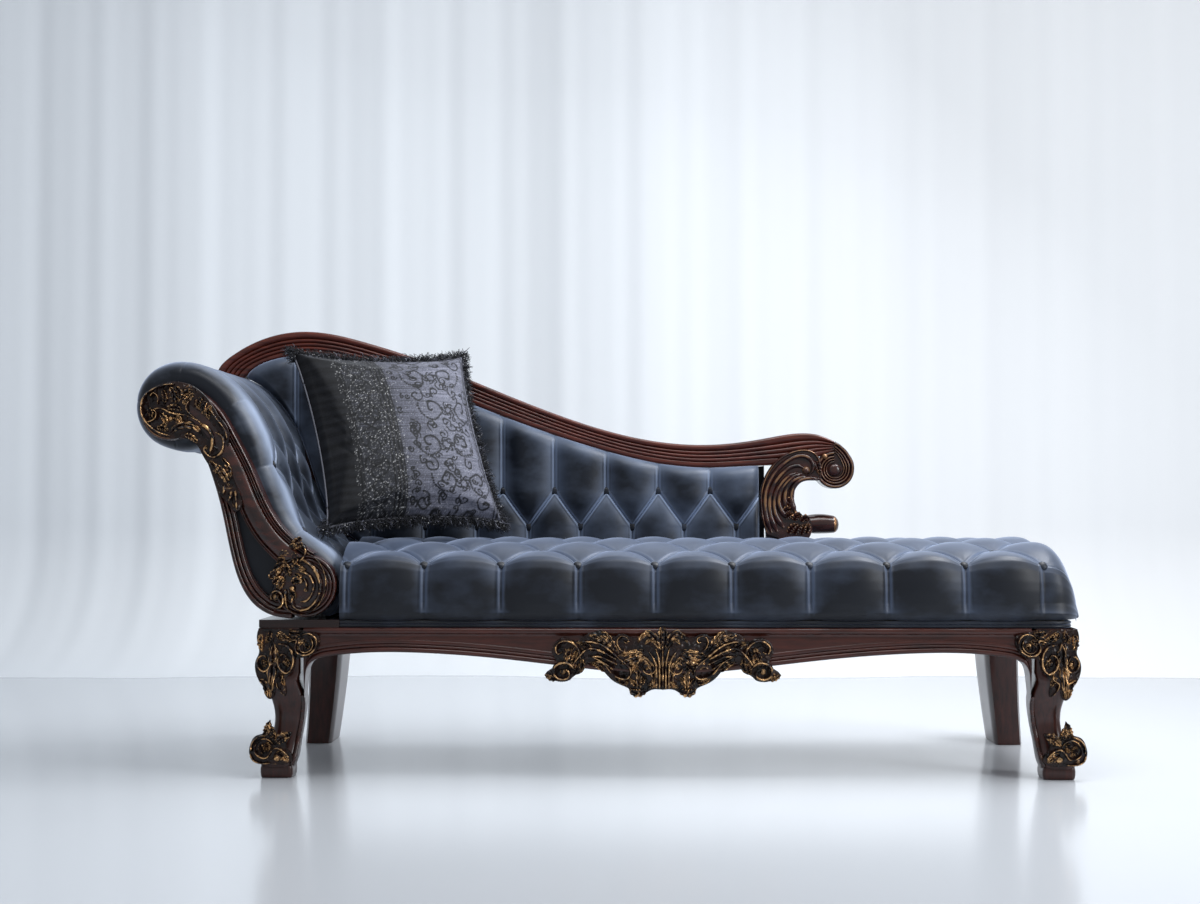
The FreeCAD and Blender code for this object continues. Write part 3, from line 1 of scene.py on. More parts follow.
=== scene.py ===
# %% [markdown]
# # A chaise longue: the looks
# The chaise has a buttoned velvet seat, a scrolled arm at its head end, a low sweeping back with a show wood
# rail, carved and gilded ornament and a loose figured cushion. Its CAD frame holds the true sizes, the joints
# and every hidden board. Here the soft, carved and polished pieces are built on that frame, so that they look
# like velvet, mahogany and old gold.
# All lengths are in metres, in the frame's own axes: X along the seat, -Y the front, +Z up.

# %% Load the frame
import math
import json
import bpy
import numpy as np
from mathutils import Matrix, Vector
from mathutils.geometry import tessellate_polygon


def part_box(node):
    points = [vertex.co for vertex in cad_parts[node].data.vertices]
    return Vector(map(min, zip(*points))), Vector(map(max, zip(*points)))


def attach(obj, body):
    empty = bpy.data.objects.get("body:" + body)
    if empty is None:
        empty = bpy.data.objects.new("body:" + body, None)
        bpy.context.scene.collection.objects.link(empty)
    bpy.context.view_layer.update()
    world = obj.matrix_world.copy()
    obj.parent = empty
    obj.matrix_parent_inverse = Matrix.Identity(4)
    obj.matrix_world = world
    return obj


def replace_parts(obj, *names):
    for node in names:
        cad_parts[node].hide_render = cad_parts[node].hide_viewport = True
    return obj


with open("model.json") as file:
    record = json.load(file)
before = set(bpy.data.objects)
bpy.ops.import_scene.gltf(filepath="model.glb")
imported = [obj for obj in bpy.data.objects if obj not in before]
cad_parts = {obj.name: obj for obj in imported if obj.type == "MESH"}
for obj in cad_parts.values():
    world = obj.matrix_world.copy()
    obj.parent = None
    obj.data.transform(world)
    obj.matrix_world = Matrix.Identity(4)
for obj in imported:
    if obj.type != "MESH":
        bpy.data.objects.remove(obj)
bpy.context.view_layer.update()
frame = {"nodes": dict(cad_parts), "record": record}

# %% [markdown]
# ## Small tools
# Most pieces here are one sheet bent into shape: cloth over stuffing, a moulding along a rail, a cord. They
# could be modelled by hand in the viewport. A grid of points worked out by a formula is used instead, because
# it can be made again at any size: rows run one way over the surface and columns the other way.
# A grid becomes a mesh, and a number kept for each point can steer its colour later.

# %% Curves and soft steps
def ease(x):
    """A soft step from 0 to 1."""
    x = np.clip(x, 0, 1)
    return x * x * (3 - 2 * x)


def dome(x):
    """A half-round bump: 1 in its middle, 0 at -1 and 1 and beyond."""
    return np.sqrt(np.clip(1 - x ** 2, 0, 1))


def bell(x):
    """A soft bump that is 1 at 0 and fades within about 2 on both sides."""
    return np.exp(-x ** 2)


def unit(vectors):
    """The same directions at length 1."""
    return vectors / np.maximum(np.linalg.norm(vectors, axis=-1, keepdims=True), 1e-9)


def around(sides):
    """Angles spread evenly over one turn."""
    return np.linspace(0, 2 * np.pi, sides, endpoint=False)


# %% A smooth line through a few points
def smooth_line(points, count):
    """Points spread evenly along a natural cubic curve through a few given points."""
    p = np.asarray(points, float)
    t = np.concatenate([[0], np.cumsum(np.linalg.norm(np.diff(p, axis=0), axis=1))])
    n = len(p)
    h = np.diff(t)
    a = np.eye(n)
    b = np.zeros_like(p)
    for i in range(1, n - 1):
        a[i, i - 1:i + 2] = h[i - 1], 2 * (h[i - 1] + h[i]), h[i]
        b[i] = 6 * ((p[i + 1] - p[i]) / h[i] - (p[i] - p[i - 1]) / h[i - 1])
    m = np.linalg.solve(a, b)

    def at(x):
        i = np.clip(np.searchsorted(t, x, side="right") - 1, 0, n - 2)
        d0, d1, w = (x - t[i])[:, None], (t[i + 1] - x)[:, None], h[i][:, None]
        return (m[i] * d1 ** 3 + m[i + 1] * d0 ** 3) / (6 * w) + (p[i] / w - m[i] * w / 6) * d1 + (
            p[i + 1] / w - m[i + 1] * w / 6) * d0

    fine = at(np.linspace(0, t[-1], 1200))
    run = np.concatenate([[0], np.cumsum(np.linalg.norm(np.diff(fine, axis=0), axis=1))])
    want = np.linspace(0, run[-1], count)
    return np.stack([np.interp(want, run, fine[:, k]) for k in range(p.shape[1])], 1)


# %% Grids and meshes
def points_grid(x, y, z):
    """A grid of points from X, Y and Z, each given for the rows, for the columns or for both."""
    return np.stack(np.broadcast_arrays(x, y, z), -1).astype(float)


def quads(index):
    """Faces between neighbouring points, from a grid of point numbers."""
    return np.stack([index[:-1, :-1], index[1:, :-1], index[1:, 1:], index[:-1, 1:]], -1).reshape(-1, 4)


def grid_faces(rows, columns, close_rows=False, close_columns=False, start=0):
    """The faces of a whole grid, closed into a ring one way or both."""
    index = np.arange(rows * columns).reshape(rows, columns) + start
    if close_rows:
        index = np.vstack([index, index[:1]])
    if close_columns:
        index = np.hstack([index, index[:, :1]])
    return quads(index)


def make_mesh(name, points, faces, body, material=None, values=None, sharp=None):
    """A smooth shaded object that rides on a body of the frame, with edges kept sharp above an angle."""
    mesh = bpy.data.meshes.new(name)
    mesh.from_pydata(points.reshape(-1, 3).tolist(), [], [tuple(int(i) for i in face) for face in faces])
    mesh.polygons.foreach_set("use_smooth", [True] * len(mesh.polygons))
    for key, value in (values or {}).items():
        layer = mesh.attributes.new(key, "FLOAT", "POINT")
        layer.data.foreach_set("value", np.asarray(value, np.float32).ravel())
    obj = bpy.data.objects.new(name, mesh)
    bpy.context.scene.collection.objects.link(obj)
    if material:
        mesh.materials.append(material)
    if body:
        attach(obj, body)
    if sharp:
        mesh.set_sharp_from_angle(angle=math.radians(sharp))
    return obj


def grid_mesh(name, grid, body, slot=None, material=None, values=None, sharp=None, **closing):
    """One grid as an object."""
    rows, columns = grid.shape[:2]
    return make_mesh(name, grid, grid_faces(rows, columns, **closing), body, material, values, sharp)


# %% Directions, joined grids and round cords
def normals_of(grid):
    """The direction out of a grid's surface at each point."""
    return unit(np.cross(np.gradient(grid, axis=0), np.gradient(grid, axis=1)))


def join_grids(parts):
    """Several (grid, values) pieces as one list of points, faces and values."""
    points, faces, values, start = [], [], {}, 0
    for grid, extra in parts:
        rows, columns = grid.shape[:2]
        faces.append(grid_faces(rows, columns, start=start))
        points.append(grid.reshape(-1, 3))
        for key, value in extra.items():
            values.setdefault(key, []).append(np.asarray(value).reshape(-1))
        start += rows * columns
    return np.concatenate(points), np.concatenate(faces), {k: np.concatenate(v) for k, v in values.items()}


def tube(path, radius, sides=10, closed=False):
    """A round cord along a line, as a grid."""
    run = unit(np.roll(path, -1, 0) - np.roll(path, 1, 0) if closed else np.gradient(path, axis=0))
    aid = np.tile(np.array([0.0, 0.0, 1.0]), (len(path), 1))
    aid[np.abs(run[:, 2]) > 0.9] = (0.0, 1.0, 0.0)
    one = unit(np.cross(run, aid))
    two = np.cross(run, one)
    t = around(sides)[None, :, None]
    return path[:, None] + radius * (one[:, None] * np.cos(t) + two[:, None] * np.sin(t))

# %% [markdown]
# ## Materials
# Photographs could be wrapped on the pieces, but they hold the light of one room and blur close by. Every
# material here is made of noise and of numbers kept at each point, so it stays sharp. Some colours also hold
# painted light: sheen and shade on the velvets, a highlight in the cushion's field and light on the curtain.

# %% A small node builder
class Nodes:
    """Adds shader nodes and links them with few words."""

    def __init__(self, name):
        self.material = bpy.data.materials.new(name)
        self.material.use_nodes = True
        self.tree = self.material.node_tree
        self.shader = self.tree.nodes["Principled BSDF"]

    def add(self, kind, inputs=None, **settings):
        """A node with its settings, and with its inputs linked or set."""
        node = self.tree.nodes.new(kind)
        for key, value in settings.items():
            setattr(node, key, value)
        for socket, value in (inputs or {}).items():
            self.put(node, socket, value)
        return node

    def put(self, node, socket, value):
        """Links another node's output to an input, or gives the input a plain value."""
        if isinstance(value, bpy.types.NodeSocket):
            self.tree.links.new(value, node.inputs[socket])
        else:
            node.inputs[socket].default_value = value

    def noise(self, scale, detail=3.0, stretch=(1, 1, 1), rough=0.5):
        """Cloudy noise through the object's own space."""
        place = self.add("ShaderNodeTexCoord").outputs["Object"]
        turn = self.add("ShaderNodeMapping", {"Scale": stretch, "Vector": place}).outputs["Vector"]
        return self.add("ShaderNodeTexNoise", {"Vector": turn, "Scale": scale, "Detail": detail,
                                               "Roughness": rough}).outputs["Fac"]

    def ramp(self, factor, stops):
        """A colour read along a row of stops."""
        node = self.add("ShaderNodeValToRGB", {"Fac": factor})
        for i, (place, colour) in enumerate(stops):
            element = node.color_ramp.elements[i] if i < 2 else node.color_ramp.elements.new(place)
            element.position = place
            element.color = (*colour, 1)
        return node.outputs["Color"]

    def math(self, operation, a, b=0.5):
        """One sum, product or comparison of two numbers."""
        return self.add("ShaderNodeMath", {0: a, 1: b}, operation=operation).outputs["Value"]

    def weighted(self, *pairs):
        """The sum of values, each times its own share."""
        terms = [self.math("MULTIPLY", value, share) for value, share in pairs]
        total = terms[0]
        for term in terms[1:]:
            total = self.math("ADD", total, term)
        return total

    def less(self, value, middle):
        """A value with its middle moved down to 0."""
        return self.math("SUBTRACT", value, middle)

    def mix(self, factor, a, b):
        """One colour fading into another."""
        return self.add("ShaderNodeMix", {0: factor, 6: a, 7: b}, data_type="RGBA").outputs[2]

    def value(self, name):
        """The number kept at each point under a name."""
        return self.add("ShaderNodeAttribute", attribute_name=name).outputs["Fac"]

    def bump(self, height, strength, distance):
        """Small relief that only bends the light."""
        node = self.add("ShaderNodeBump", {"Strength": strength, "Distance": distance, "Height": height})
        self.put(self.shader, "Normal", node.outputs["Normal"])

    def set(self, **values):
        """Fills inputs of the main shader, named in small letters."""
        for key, value in values.items():
            self.put(self.shader, key.replace("_", " ").title().replace("Ior", "IOR"), value)


def shade(*rgb):
    """A colour with full opacity."""
    return (*rgb, 1.0)


# %% [markdown]
# ### Velvet
# Velvet is short upright pile. It is nearly black where the eye looks down into it and silvery where it looks
# across it. Hairs would show that, but there would be millions of them. A sheen over a dark base gives the same
# soft rim. A number kept at each point also paints sheen into the colour: up-facing cloth and the flanks and
# raised edges of the pleats are painted paler, as painted sheen and painted highlight.

# %% Velvet
def velvet(name, deep, pale, sheen=1.0, crush=0.6):
    """Pile cloth: dark, with a silvery sheen, and painted paler where the number kept at each point adds painted
    sheen.
    """
    n = Nodes(name)
    nap = n.noise(9.0, 4.0, (1.0, 1.0, 1.6))
    fine = n.noise(240.0, 2.0)
    # The colour mixes random crushed nap with the painted sheen kept at each point.
    lift = n.weighted((n.value("painted_sheen"), 0.9), (n.less(nap, 0.5), crush))
    half_way = tuple(0.62 * a + 0.38 * b for a, b in zip(deep, pale))
    n.set(base_color=n.ramp(lift, [(0.0, deep), (0.32, half_way), (1.0, pale)]), roughness=0.44, sheen_weight=sheen,
          sheen_roughness=0.30, sheen_tint=shade(0.62, 0.73, 0.98), specular_ior_level=0.32)
    n.bump(n.weighted((nap, 0.5), (fine, 0.25)), 0.22, 0.0012)
    return n.material


# %% [markdown]
# ### Polished wood and old gold
# The show wood is dark red mahogany under a thin polish. Gold lies only where a hand would rub it on: on crests
# and rims. It could be a painted mask. The number `gild`, written when the shape is made, is used instead,
# because it follows every leaf and reed, and noise then wears it away in patches.

# %% Polished timber
def timber(name, dark, warm, stretch, rough=0.30, coat=0.30):
    """Polished timber with a fine grain along one axis."""
    n = Nodes(name)
    grain = n.noise(26.0, 6.0, stretch, 0.62)
    tone = n.weighted((grain, 0.75), (n.noise(5.0, 2.0), 0.3))
    n.set(base_color=n.ramp(tone, [(0.30, dark), (0.72, warm)]), roughness=rough, coat_weight=coat,
          coat_roughness=0.10, specular_ior_level=0.32)
    n.bump(grain, 0.05, 0.0008)
    return n.material


# %% Gilded wood
def gilt_wood(name):
    """Dark polished wood whose marked crests are rubbed with old gold."""
    n = Nodes(name)
    wear = n.noise(48.0, 4.0)
    grain = n.noise(26.0, 5.0, (1.0, 6.0, 3.0))
    high = n.weighted((n.value("gild"), 1.1), (n.less(wear, 0.62), 1.1))
    wood = n.ramp(grain, [(0.35, (0.010, 0.0032, 0.0024)), (0.75, (0.062, 0.0140, 0.0080))])
    mask = n.ramp(high, [(0.55, (0, 0, 0)), (0.85, (0.85, 0.85, 0.85))])
    n.set(base_color=n.mix(mask, wood, shade(0.42, 0.22, 0.10)), metallic=mask, roughness=0.26, coat_weight=0.35,
          coat_roughness=0.10, specular_ior_level=0.4)
    n.bump(grain, 0.05, 0.0006)
    return n.material


def carved_gilt(name):
    """Near-black carved wood with old gold on its marked rims, and with fine swirls between the strokes."""
    n = Nodes(name)
    wear = n.noise(60.0, 3.0)
    swirl = n.math("ABSOLUTE", n.less(n.noise(68.0, 1.0, rough=0.3), 0.5))
    vein = n.math("MAXIMUM", n.math("SUBTRACT", 1.0, n.math("MULTIPLY", swirl, 9.0)), 0.0)
    high = n.weighted((n.value("gild"), 0.92), (n.less(wear, 0.52), 2.1), (vein, 0.34))
    mask = n.ramp(high, [(0.50, (0, 0, 0)), (0.95, (0.95, 0.95, 0.95))])
    wood = n.ramp(wear, [(0.35, (0.0045, 0.0030, 0.0028)), (0.80, (0.034, 0.0125, 0.0080))])
    n.set(base_color=n.mix(mask, wood, shade(0.66, 0.39, 0.18)), metallic=mask, roughness=0.24, coat_weight=0.12,
          coat_roughness=0.10, specular_ior_level=0.25)
    n.bump(vein, 0.8, 0.0020)
    return n.material


# %% [markdown]
# ### Cloths
# The cushion's cover is a woven figured silk: its pattern is in the threads, not printed on them, so the tone
# of each point also lifts or lowers the surface a little. Linings and webbing are plain matt weaves.

# %% Figured silk and plain cloth
def figured_silk(name):
    """Charcoal and silver figured weave, steered by the cushion's tone and sparkle."""
    n = Nodes(name)
    tone, spark = n.value("tone"), n.value("spark")
    weave = n.noise(900.0, 1.0, (1.0, 1.0, 0.25))
    fold = n.noise(17.0, 2.0, (1.0, 1.0, 0.45))
    base = n.ramp(tone, [(0.0, (0.0035, 0.0037, 0.0045)), (0.35, (0.019, 0.020, 0.024)),
                         (0.62, (0.084, 0.087, 0.113)), (1.0, (0.25, 0.26, 0.33))])
    n.set(base_color=n.mix(n.math("MULTIPLY", spark, 0.8), base, shade(0.72, 0.72, 0.72)), roughness=0.58,
          sheen_weight=0.08, sheen_roughness=0.42, sheen_tint=shade(0.72, 0.75, 0.84), specular_ior_level=0.14)
    relief = n.weighted((tone, 1.0), (weave, 0.35))
    n.bump(n.weighted((relief, 0.08), (fold, 1.0)), 0.55, 0.0075)
    return n.material


def cloth(name, colour, rough=0.85, sheen=0.2):
    """A plain matt cloth with a fine weave."""
    n = Nodes(name)
    grain = n.noise(900.0, 2.0)
    n.set(base_color=n.ramp(grain, [(0.2, tuple(0.7 * c for c in colour)), (0.8, colour)]), roughness=rough,
          sheen_weight=sheen)
    n.bump(grain, 0.3, 0.0005)
    return n.material


# %% All the finishes
ALONG, UPRIGHT = (0.6, 6.0, 6.0), (6.0, 6.0, 0.7)
looks = {
    # Seat, back and arm velvets are lit copies of one cloth: the back's and arm's pale colours are painted light.
    "velvet": velvet("velvet", (0.0046, 0.0064, 0.0108), (0.125, 0.165, 0.255)),
    "velvet_back_lit": velvet("velvet_back_lit", (0.0058, 0.0086, 0.0152), (0.240, 0.305, 0.440)),
    "velvet_arm_lit": velvet("velvet_arm_lit", (0.0050, 0.0074, 0.0130), (0.350, 0.420, 0.560)),
    "flat_velvet": velvet("flat_velvet", (0.0055, 0.0075, 0.0125), (0.050, 0.066, 0.100), 0.7, 0.15),
    "crest_wood": timber("crest_wood", (0.010, 0.0028, 0.0022), (0.135, 0.0260, 0.0140), ALONG, 0.26),
    "dark_wood": timber("dark_wood", (0.0050, 0.0022, 0.0020), (0.024, 0.0075, 0.0052), ALONG, 0.22),
    "mahogany": timber("mahogany", (0.010, 0.0030, 0.0022), (0.072, 0.0150, 0.0085), ALONG),
    "mahogany_up": timber("mahogany_up", (0.010, 0.0030, 0.0022), (0.056, 0.0125, 0.0075), UPRIGHT),
    "beech": timber("beech", (0.26, 0.16, 0.09), (0.42, 0.29, 0.17), ALONG, 0.6, 0.0),
    "gilt_wood": gilt_wood("gilt_wood"),
    "carved_gilt": carved_gilt("carved_gilt"),
    "welt_cloth": cloth("welt_cloth", (0.016, 0.019, 0.026), 0.6, 0.5),
    "jute": cloth("jute", (0.36, 0.27, 0.16)),
    "hessian": cloth("hessian", (0.30, 0.24, 0.16)),
    "black_lining": cloth("black_lining", (0.012, 0.012, 0.014)),
    "figured_silk": figured_silk("figured_silk"),
    "thread": figured_silk("fringe_thread_look"),
}
# %% Finishes on the plain boards of the frame
record_slots = {s["node"]: s["material_slot"] for s in frame["record"]["subparts"]}
for node, obj in frame["nodes"].items():
    look = looks.get(record_slots.get(node))
    if node.endswith("_leg"):
        look = looks["mahogany_up"]
    if look == looks["velvet"] and "panel" in node:
        look = looks["flat_velvet"]
    if look:
        obj.data.materials.clear()
        obj.data.materials.append(look)
print("finishes", len(looks), "on", len(frame["nodes"]), "nodes")

# %% [markdown]
# ## Buttoned velvet
# In deep buttoning the velvet is pulled down to the frame at each button, the slack between buttons is tucked
# into slanting pleats, and the stuffing swells up in diamonds. A cloth simulation pinned at the buttons could
# make it, but tight cloth tears or trembles there, and no two diamonds come out alike. The lattice is regular,
# so a formula is used: `swell` gives the height at any place in the lattice, and each pad lays it over its own
# base form. `u` counts half the buttons' spacing along a row, and `v` counts the rows.

# %% The lattice of pleats
CLOTH_GAP = 0.0004


def row_distance(value):
    """0 on an even number, 1 on an odd one."""
    return np.abs((value + 1) % 2 - 1)


def swell(u, v, lift=0.30, power=0.52):
    """Height of the stuffing from 0 at a button to 1 in the middle of a diamond."""
    p = np.sin(np.pi / 2 * row_distance(u + v))
    q = np.sin(np.pi / 2 * row_distance(u - v))
    ridge = lift * np.maximum(p, q)
    return ridge + (1 - ridge) * np.maximum(p * q, 0) ** power


def fold_lines(u, v):
    """Fine tucks that run out from each button, strongest close to it."""
    p, q = row_distance(u + v), row_distance(u - v)
    return bell((p + q) / 0.55) * np.cos(9 * np.arctan2(q, p + 1e-6)) * np.minimum(p + q, 1)


def tuck(u, v):
    """1 on the two raised edges of each pleat, 0 away from them."""
    d = np.minimum(row_distance(u + v), row_distance(u - v))
    return bell((d - 0.080) / 0.032)


# %% Painted sheen on the velvet
def painted_sheen(grid, outward, edges, reach=15):
    """Painted sheen at each point: a paler colour on up-facing cloth, on the flanks of pleats and on their raised
    edges.
    """
    normals = normals_of(grid)
    if (normals * np.array(outward)).sum(-1).mean() < 0:
        normals = -normals
    soft = normals
    for axis in (0, 1):
        widen = [(reach, reach) if k == axis else (0, 0) for k in range(3)]
        total = np.cumsum(np.pad(soft, widen, mode="edge"), axis)
        first = np.arange(grid.shape[axis])
        soft = np.take(total, first + 2 * reach - 1, axis) - np.take(total, first, axis)
    # Up-facing cloth, flanks and raised pleat edges are painted paler: painted sheen and painted highlight.
    painted_flank_sheen = 1 - (normals * soft).sum(-1) / np.maximum(np.linalg.norm(soft, axis=-1), 1e-9)
    return np.clip(0.36 * np.clip(normals[..., 2], 0, 1) ** 1.6 + 1.7 * painted_flank_sheen + 0.22 * edges, 0, 1)


# %% [markdown]
# Each button is a small dome covered in the same velvet. All the buttons of a pad are one object, because they
# stand for one piece of the frame.

# %% Covered buttons
def nearest(values, wanted):
    """The number of the value that comes closest."""
    return int(np.argmin(np.abs(values - wanted)))


def covered_buttons(name, node, places, normals, radius, height):
    """Domed velvet buttons as one object, standing for one CAD node."""
    sides = 20
    t = np.linspace(0, 1, 7) * np.pi / 2
    r = np.concatenate([[radius * 0.86], radius * np.cos(t) ** 0.7])
    z = np.concatenate([[-height * 0.5], height * np.sin(t)])
    r, z, turn = r[:, None], z[:, None], around(sides)
    ring = points_grid(r * np.cos(turn), r * np.sin(turn), z).reshape(-1, 3)
    turned = [np.array(Vector(normal).to_track_quat("Z", "Y").to_matrix()) for normal in normals]
    points = [ring @ turn.T + place for place, turn in zip(places, turned)]
    faces = [grid_faces(len(r), sides, close_columns=True, start=k * len(ring)) for k in range(len(points))]
    caps = make_mesh(name, np.concatenate(points), np.concatenate(faces), "frame", looks["velvet"])
    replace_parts(caps, node)
    print(name, len(places))


# %% [markdown]
# ## The seat
# The seat is a long pad with a rolled front edge and a rounded foot end. Its front hangs in straight pleats
# below the first row of buttons. One slice from the front to the back is drawn through a few points, and the
# slices follow each other along X, so the pad keeps a true edge on its rails all the way round.

# %% Sizes of the seat
FRONT_Y, REAR_Y, RAIL_Z = -0.320, 0.235, 0.290
SEAT_LEFT, SEAT_RIGHT, PITCH, FIRST = -0.5087, 0.9247, 0.1495, -0.4952
SEAT_FRONT, ROLL, ROW, CROWN, SIDE = -0.334, 0.026, 0.100, 0.031, 0.126
WELT = 0.0033
SEAT_BOTTOM = RAIL_Z + 4 * WELT + CLOTH_GAP
POST_X0, POST_X1 = 0.3526, 0.4186
SCROLL_X = 0.3366
front_table = [(0.62, 0.0), (0.22, 0.10), (0.05, 0.26), (0.0, 0.46), (0.05, 0.62), (0.22, 0.80), (0.55, 0.93)]
crown_table = (0.0, 0.42, 0.72, 0.88, 0.97, 1.0, 1.0, 0.96, 0.87)
rear_table = ((0.36, 0.78), (0.71, 0.66), (0.95, 0.30), (1.0, -0.5))
SEAT_FINE = 330


# %% One slice of the seat
def seat_section(rear_y):
    """One slice of the seat before buttoning: its points and the row number of each."""
    crown_z = SEAT_BOTTOM + SIDE
    pts = [(SEAT_FRONT + inward * ROLL, SEAT_BOTTOM + height * SIDE) for inward, height in front_table]
    pts += [(SEAT_FRONT + ROLL + k * ROW / 2, crown_z + share * CROWN) for k, share in enumerate(crown_table)]
    start = pts[-1][0]
    pts += [(start + back * (rear_y - start), crown_z + share * CROWN) for back, share in rear_table]
    pts = np.array(pts + [(rear_y, SEAT_BOTTOM)])
    rows = np.array([0.0] * len(front_table) + [k / 2 for k in range(len(crown_table))] + [4.5, 5.0, 5.5, 6.0, 6.0])
    t = np.linspace(0, len(pts) - 1, SEAT_FINE)
    line = np.stack([np.interp(t, np.arange(len(pts)), pts[:, k]) for k in (0, 1)], 1)
    kernel = np.hanning(15)
    kernel /= kernel.sum()
    padded = np.pad(line, ((7, 7), (0, 0)), mode="reflect", reflect_type="odd")
    line = np.stack([np.convolve(padded[:, k], kernel, "valid") for k in (0, 1)], 1)
    return line, np.interp(t, np.arange(len(pts)), rows)


# %% The seat's surface
def seat_surface():
    """The whole seat as a grid, with the row number of each column and the places of the pleats' edges."""
    count = int((SEAT_RIGHT - FIRST) / PITCH)
    last_x = FIRST + count * PITCH
    rounded = last_x + (SEAT_RIGHT - last_x) * np.sin(np.linspace(0, np.pi / 2, 40))
    xs = np.concatenate([np.arange(SEAT_LEFT, last_x, PITCH / 60), rounded])
    grid, edges = np.zeros((len(xs), SEAT_FINE, 3)), np.zeros((len(xs), SEAT_FINE))
    for i, x in enumerate(xs):
        wing = x > POST_X1 + 0.0007
        line, rows = seat_section(REAR_Y - WELT if wing else (0.2026 if x > SCROLL_X else 0.1356))
        end = np.clip((x - last_x) / (SEAT_RIGHT - last_x), 0, 1)
        round_off = 1 - math.sqrt(max(0.0, 1 - end ** 2.6))
        middle = (SEAT_FRONT + REAR_Y) / 2
        line = np.stack([middle + (line[:, 0] - middle) * (1 - 0.19 * end ** 3.2),
                         SEAT_BOTTOM + (line[:, 1] - SEAT_BOTTOM) * (1 - 0.86 * round_off)], 1)
        tangent = unit(np.gradient(line, axis=0))
        up = line[:, 1] - SEAT_BOTTOM
        u, v = 2 * (x - FIRST) / PITCH, np.minimum(rows, 5 if wing else 4)
        u_kept = np.minimum(u, 2.0 * count)
        soft = ease(up / 0.035)
        depth = 0.023 * np.where(rows <= 0, 0.62 + 0.38 * np.clip(up / SIDE, 0, 1), 1)
        depth = depth * np.where(rows <= 0.0, 0.25 + 0.75 * soft, 1)
        edges[i] = tuck(u_kept, v) * (1 - 0.5 * np.clip(rows, 0, 1)) * soft * (end == 0)
        sink = depth * (1 - swell(u_kept, v)) - 0.0011 * fold_lines(u, v) * (rows > 0) - 0.0024 * edges[i]
        grid[i] = points_grid(x, line[:, 0] + tangent[:, 1] * sink, line[:, 1] - tangent[:, 0] * sink)
    return xs, grid, rows, count, edges


# %% The seat's velvet
xs, seat_grid, seat_rows, seat_count, seat_edges = seat_surface()
# The seat's colour holds painted sheen on up-facing cloth, on the flanks of pleats and on their raised edges.
seat_painted_sheen = painted_sheen(seat_grid, (0, -0.4, 1), seat_edges)
seat = grid_mesh("seat_velvet", np.concatenate([seat_grid, seat_grid[:, :1]], axis=1), "frame", "velvet",
                 looks["velvet"], {"painted_sheen": np.pad(seat_painted_sheen, ((0, 0), (0, 1)))})
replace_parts(seat, "seat_pad")
print("seat_velvet", seat_grid.shape)

# %% The seat's buttons
seat_normals = normals_of(seat_grid)
last_front = int(np.max(np.where(seat_rows <= 0)[0]))
places, outs = [], []
for u in range(2 * seat_count + 1):
    for row in range(5):
        if (u + row) % 2 == 0:
            at = nearest(xs, FIRST + u * PITCH / 2), nearest(seat_rows, row) if row else last_front
            normal = seat_normals[at]
            places.append(seat_grid[at] + normal * 0.001)
            outs.append(normal if normal[2] > 0 else -normal)
covered_buttons("seat_button_caps", "seat_buttons", places, outs, 0.0100, 0.0062)

# %% [markdown]
# ## The head end
# The arm is a pad that climbs from the seat, leans outward and rolls over into a scroll. Seen from the front
# its skin is one line, so it isn't sculpted: the line is drawn through a few points and swept backward. The
# grid's rows run along that line and its columns run from the front to the back, where the pad meets the rear
# board. Below the roll the slope is buttoned, and the roll itself stays smooth.

# %% Sizes of the arm
ARM_X, ARM_W, ARM_H = -0.9255, 0.406, 0.523
ARM_FRONT, ARM_REAR, BORDER = -0.288 + CLOTH_GAP, 0.1746, 0.050
skin_table = ((0.950, 0.034), (1.018, 0.119), (1.008, 0.226), (0.903, 0.317), (0.792, 0.402), (0.728, 0.507),
              (0.681, 0.616), (0.627, 0.723), (0.558, 0.826), (0.462, 0.916), (0.344, 0.977), (0.220, 0.998),
              (0.087, 0.964), (0.011, 0.880), (0.009, 0.784), (0.080, 0.698), (0.206, 0.656))


# %% The arm's line
def arm_line(table, count):
    """A line of the arm's outline, as X and Z."""
    return smooth_line([(ARM_X + a * ARM_W, RAIL_Z + b * ARM_H) for a, b in table], count)


def rolled_rows(row):
    """0 on the tufted slope of the arm, 1 where it rolls over smooth."""
    return ease((row - 3.4) / 1.6)


# %% The arm's surface
ROW_STEPS, ROLL_BORDER, HEM = 14, 0.027, 0.052


